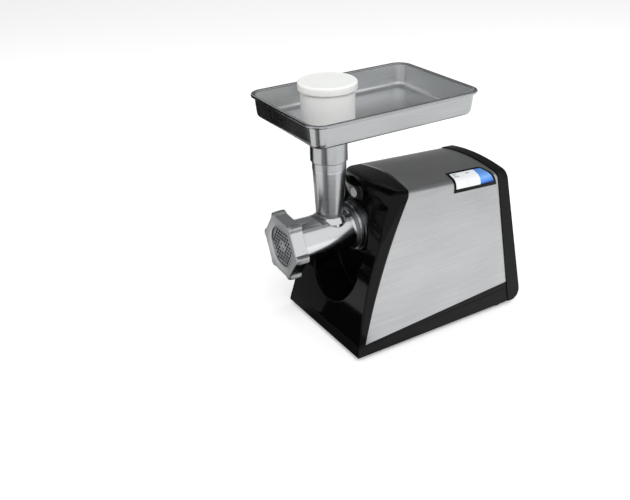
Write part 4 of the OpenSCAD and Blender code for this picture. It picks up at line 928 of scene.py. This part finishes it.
def printWord(name, text, body, x, y, sizeMm):
    # flat print on the key's upper part, read from the right-hand side of the machine: the letters are made a
    # mesh first, and then put in place
    proud = ink["keyProud"] + ink["gap"]
    place = skinPoint(x, y, proud)
    ahead, left = skinPoint(x, y + 1, proud) - place, skinPoint(x - 1, y, proud) - place
    ahead, left = ahead / np.linalg.norm(ahead), left / np.linalg.norm(left)
    turn = Matrix(np.column_stack([ahead, left, np.cross(ahead, left)]).tolist()).to_4x4()
    data = bpy.data.curves.new(name + "Letters", "FONT")
    data.body = text
    data.size = sizeMm / 1000
    data.align_x, data.align_y = "CENTER", "CENTER"
    data.extrude, data.offset = ink["thick"] / 1000, ink["bold"] / 1000
    letters = bpy.data.objects.new(name + "Letters", data)
    mesh = bpy.data.meshes.new_from_object(letters)
    bpy.data.objects.remove(letters)
    mesh.name = name
    mesh.transform(Matrix.Translation(toWorld(place)) @ turn)
    mesh.materials.clear()
    mesh.materials.append(printInk)
    word = bpy.data.objects.new(name, mesh)
    scene.collection.objects.link(word)
    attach(word, body)


for word in words:
    printWord(*word)
print("keys made")


# lock button: a shallow dish with a rounded rim on a round stem that runs back into the housing
lock = dict(faceY=62.8, x=-7, z=232, dishR=5.2, dish=0.5, rimR=(6.6, 7.8), deep=2.8, stemR=3, stemDeep=27)


def buildLockButton():
    # a profile from the dish over the rim and back along the stem, swung round the button's own line
    face, (rimIn, rimOut) = lock["faceY"], lock["rimR"]
    dished, back, end = face + lock["dish"], face + lock["deep"], face + lock["stemDeep"]
    cap = turned("lockCap", [(0.02, dished), (lock["dishR"], dished), (rimIn, face), (rimOut, face),
                             (rimOut, back), (lock["stemR"], back), (lock["stemR"], end), (0.02, end)],
                 (0, 1.2, 0.8, 0.7, 0.3, 0.3, 0.3), (lock["x"], 0, lock["z"]), axis="y", segments=72)
    cap.data.materials.append(greyAbs)
    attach(cap, "lock")
    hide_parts("lock_button")


buildLockButton()
print("lock button made")


# floor, background, cards seen only in reflections, and lamps, in metres
studio = dict(floorSize=14.0, floorColour="f4f4f4", floorLift=0.26, skyDiffuse=0.62, throatY=-0.113)
# upright and level cards seen only in reflections, for painted dark and pale reflections on the metals and
# the gloss, where 0.01 is as dark as black foam board: (name, corners, how much it glows)
cards = [
    ("frontDarkReflection", [(-0.55, -2.4, 0.003), (-2.6, -0.3, 0.003), (-2.6, -0.3, 1.5), (-0.55, -2.4, 1.5)], 0.01),
    ("backPaleReflection", [(-2.6, 0.2, 0.2), (-0.4, 2.6, 0.2), (-0.4, 2.6, 2.4), (-2.6, 0.2, 2.4)], 0.2),
    ("ceilingPaleReflection", [(-2.8, -2.2, 2.4), (1.12, -2.2, 2.4), (1.12, 4.5, 2.4), (-2.8, 4.5, 2.4)], 0.3),
    ("ceilingEdgeDarkReflection", [(1.12, -2.2, 2.4), (1.26, -2.2, 2.4), (1.26, 4.5, 2.4), (1.12, 4.5, 2.4)], 0.02),
    ("tableEdgeDarkReflection", [(1.0, -1.2, 0.003), (1.16, -1.2, 0.003), (1.16, 2.6, 0.003), (1.0, 2.6, 0.003)], 0.02),
    ("underDarkReflection", [(-0.12, -0.24, 0.001), (0.12, -0.24, 0.001), (0.12, 0.0, 0.001), (-0.12, 0.0, 0.001)],
     0.01),
]
# sheets on the floor, in wedges round the throat, seen only in reflections, for painted dark and pale
# reflections on the undersides: (from angle, to angle, near, far, how much it glows)
wedges = [
    (-186, -137, 0.62, 2.4, 0.015), (-205, -137, 0.1, 0.62, 0.3), (-137, -77, 0.1, 0.36, 0.01),
    (-77, -53, 0.1, 0.36, 0.01), (-77, -53, 0.36, 1.6, 0.3), (-53, -42, 0.1, 1.6, 0.02),
    (-42, 14, 0.16, 0.62, 0.3),
]
# soft boxes aimed at the middle of the machine: (name, place, width, height, watts)
lamps = [
    ("keyLamp", (1.6, -0.6, 1.9), 1.2, 1.2, 29), ("fillLamp", (-1.5, -1.4, 1.5), 1.0, 1.0, 9),
    ("rearLamp", (0.2, 1.8, 1.6), 1.4, 0.8, 10),
]


def seenRays(tree):
    # 1 for rays from the camera, from a reflection or through glass
    path = addNode(tree, "LightPath")
    first = addNode(tree, "Math", {"operation": "MAXIMUM"},
                    {0: (path, "Is Camera Ray"), 1: (path, "Is Glossy Ray")})
    return addNode(tree, "Math", {"operation": "MAXIMUM"},
                   {0: (first, "Value"), 1: (path, "Is Transmission Ray")})


def addSky():
    # plain white to the eye and in reflections, and a softer white that lights the object
    world = bpy.data.worlds.new("studio")
    scene.world = world
    world.use_nodes = True
    tree = world.node_tree
    tree.nodes.clear()
    seen = seenRays(tree)
    white = addNode(tree, "Background", {"Color": (1, 1, 1, 1), "Strength": 1.0})
    soft = addNode(tree, "Background", {"Color": (1, 1, 1, 1), "Strength": studio["skyDiffuse"]})
    mix = addNode(tree, "MixShader", None, {"Fac": (seen, "Value"), 1: (soft, 0), 2: (white, 0)})
    addNode(tree, "OutputWorld", None, {"Surface": (mix, 0)})


def addSheet(name, corners, materialName, colour, roughness, glow):
    # one flat four-cornered sheet that doesn't shine
    mesh = bpy.data.meshes.new(name)
    mesh.from_pydata(corners, [], [(0, 1, 2, 3)])
    sheet = bpy.data.objects.new(name, mesh)
    scene.collection.objects.link(sheet)
    material, tree, shader = newMaterial(materialName, Base_Color=colour, Roughness=roughness,
                                         Specular_IOR_Level=0.0, Emission_Color=(1, 1, 1, 1),
                                         Emission_Strength=glow)
    mesh.materials.append(material)
    return sheet, tree, shader


def addFloor():
    # pale paper, lifted to the background's white for the camera and for reflections
    size = studio["floorSize"] / 2
    corners = [(-size, -size, 0), (size, -size, 0), (size, size, 0), (-size, size, 0)]
    _, tree, shader = addSheet("floor", corners, "paper", linear(studio["floorColour"]), 0.95, 0.0)
    addNode(tree, "Math", {"operation": "MULTIPLY", 1: studio["floorLift"]},
            {0: (seenRays(tree), "Value")}, ("Value", shader, "Emission Strength"))


def addCard(name, corners, glow):
    # a card that only reflections see, for a painted reflection: a dark sheet as black as foam board, or a
    # pale sheet that glows a little though it is no lamp
    card, _, _ = addSheet(name, corners, name + "Board", (0, 0, 0, 1), 1.0, glow)
    for ray in ("camera", "diffuse", "shadow", "transmission", "volume_scatter"):
        setattr(card, "visible_" + ray, False)


def addLamp(name, place, width, height, watts):
    # a soft box that isn't seen itself, neither by the camera nor in reflections
    data = bpy.data.lights.new(name, "AREA")
    data.shape = "RECTANGLE"
    data.size, data.size_y, data.energy = width, height, watts
    lamp = bpy.data.objects.new(name, data)
    lamp.location = place
    lamp.rotation_euler = (Vector((0, 0, 0.2)) - Vector(place)).to_track_quat("-Z", "Y").to_euler()
    lamp.visible_camera = lamp.visible_glossy = False
    scene.collection.objects.link(lamp)


addSky()
addFloor()
for card in cards:
    addCard(*card)
for number, (low, high, near, far, glow) in enumerate(wedges):
    corners = [(r * math.cos(math.radians(a)), studio["throatY"] + r * math.sin(math.radians(a)), 0.002)
               for r, a in ((near, low), (far, low), (far, high), (near, high))]
    addCard("floorReflection%d" % number, corners, glow)
for lamp in lamps:
    addLamp(*lamp)
scene.view_settings.view_transform = "Standard"
print("studio lit")
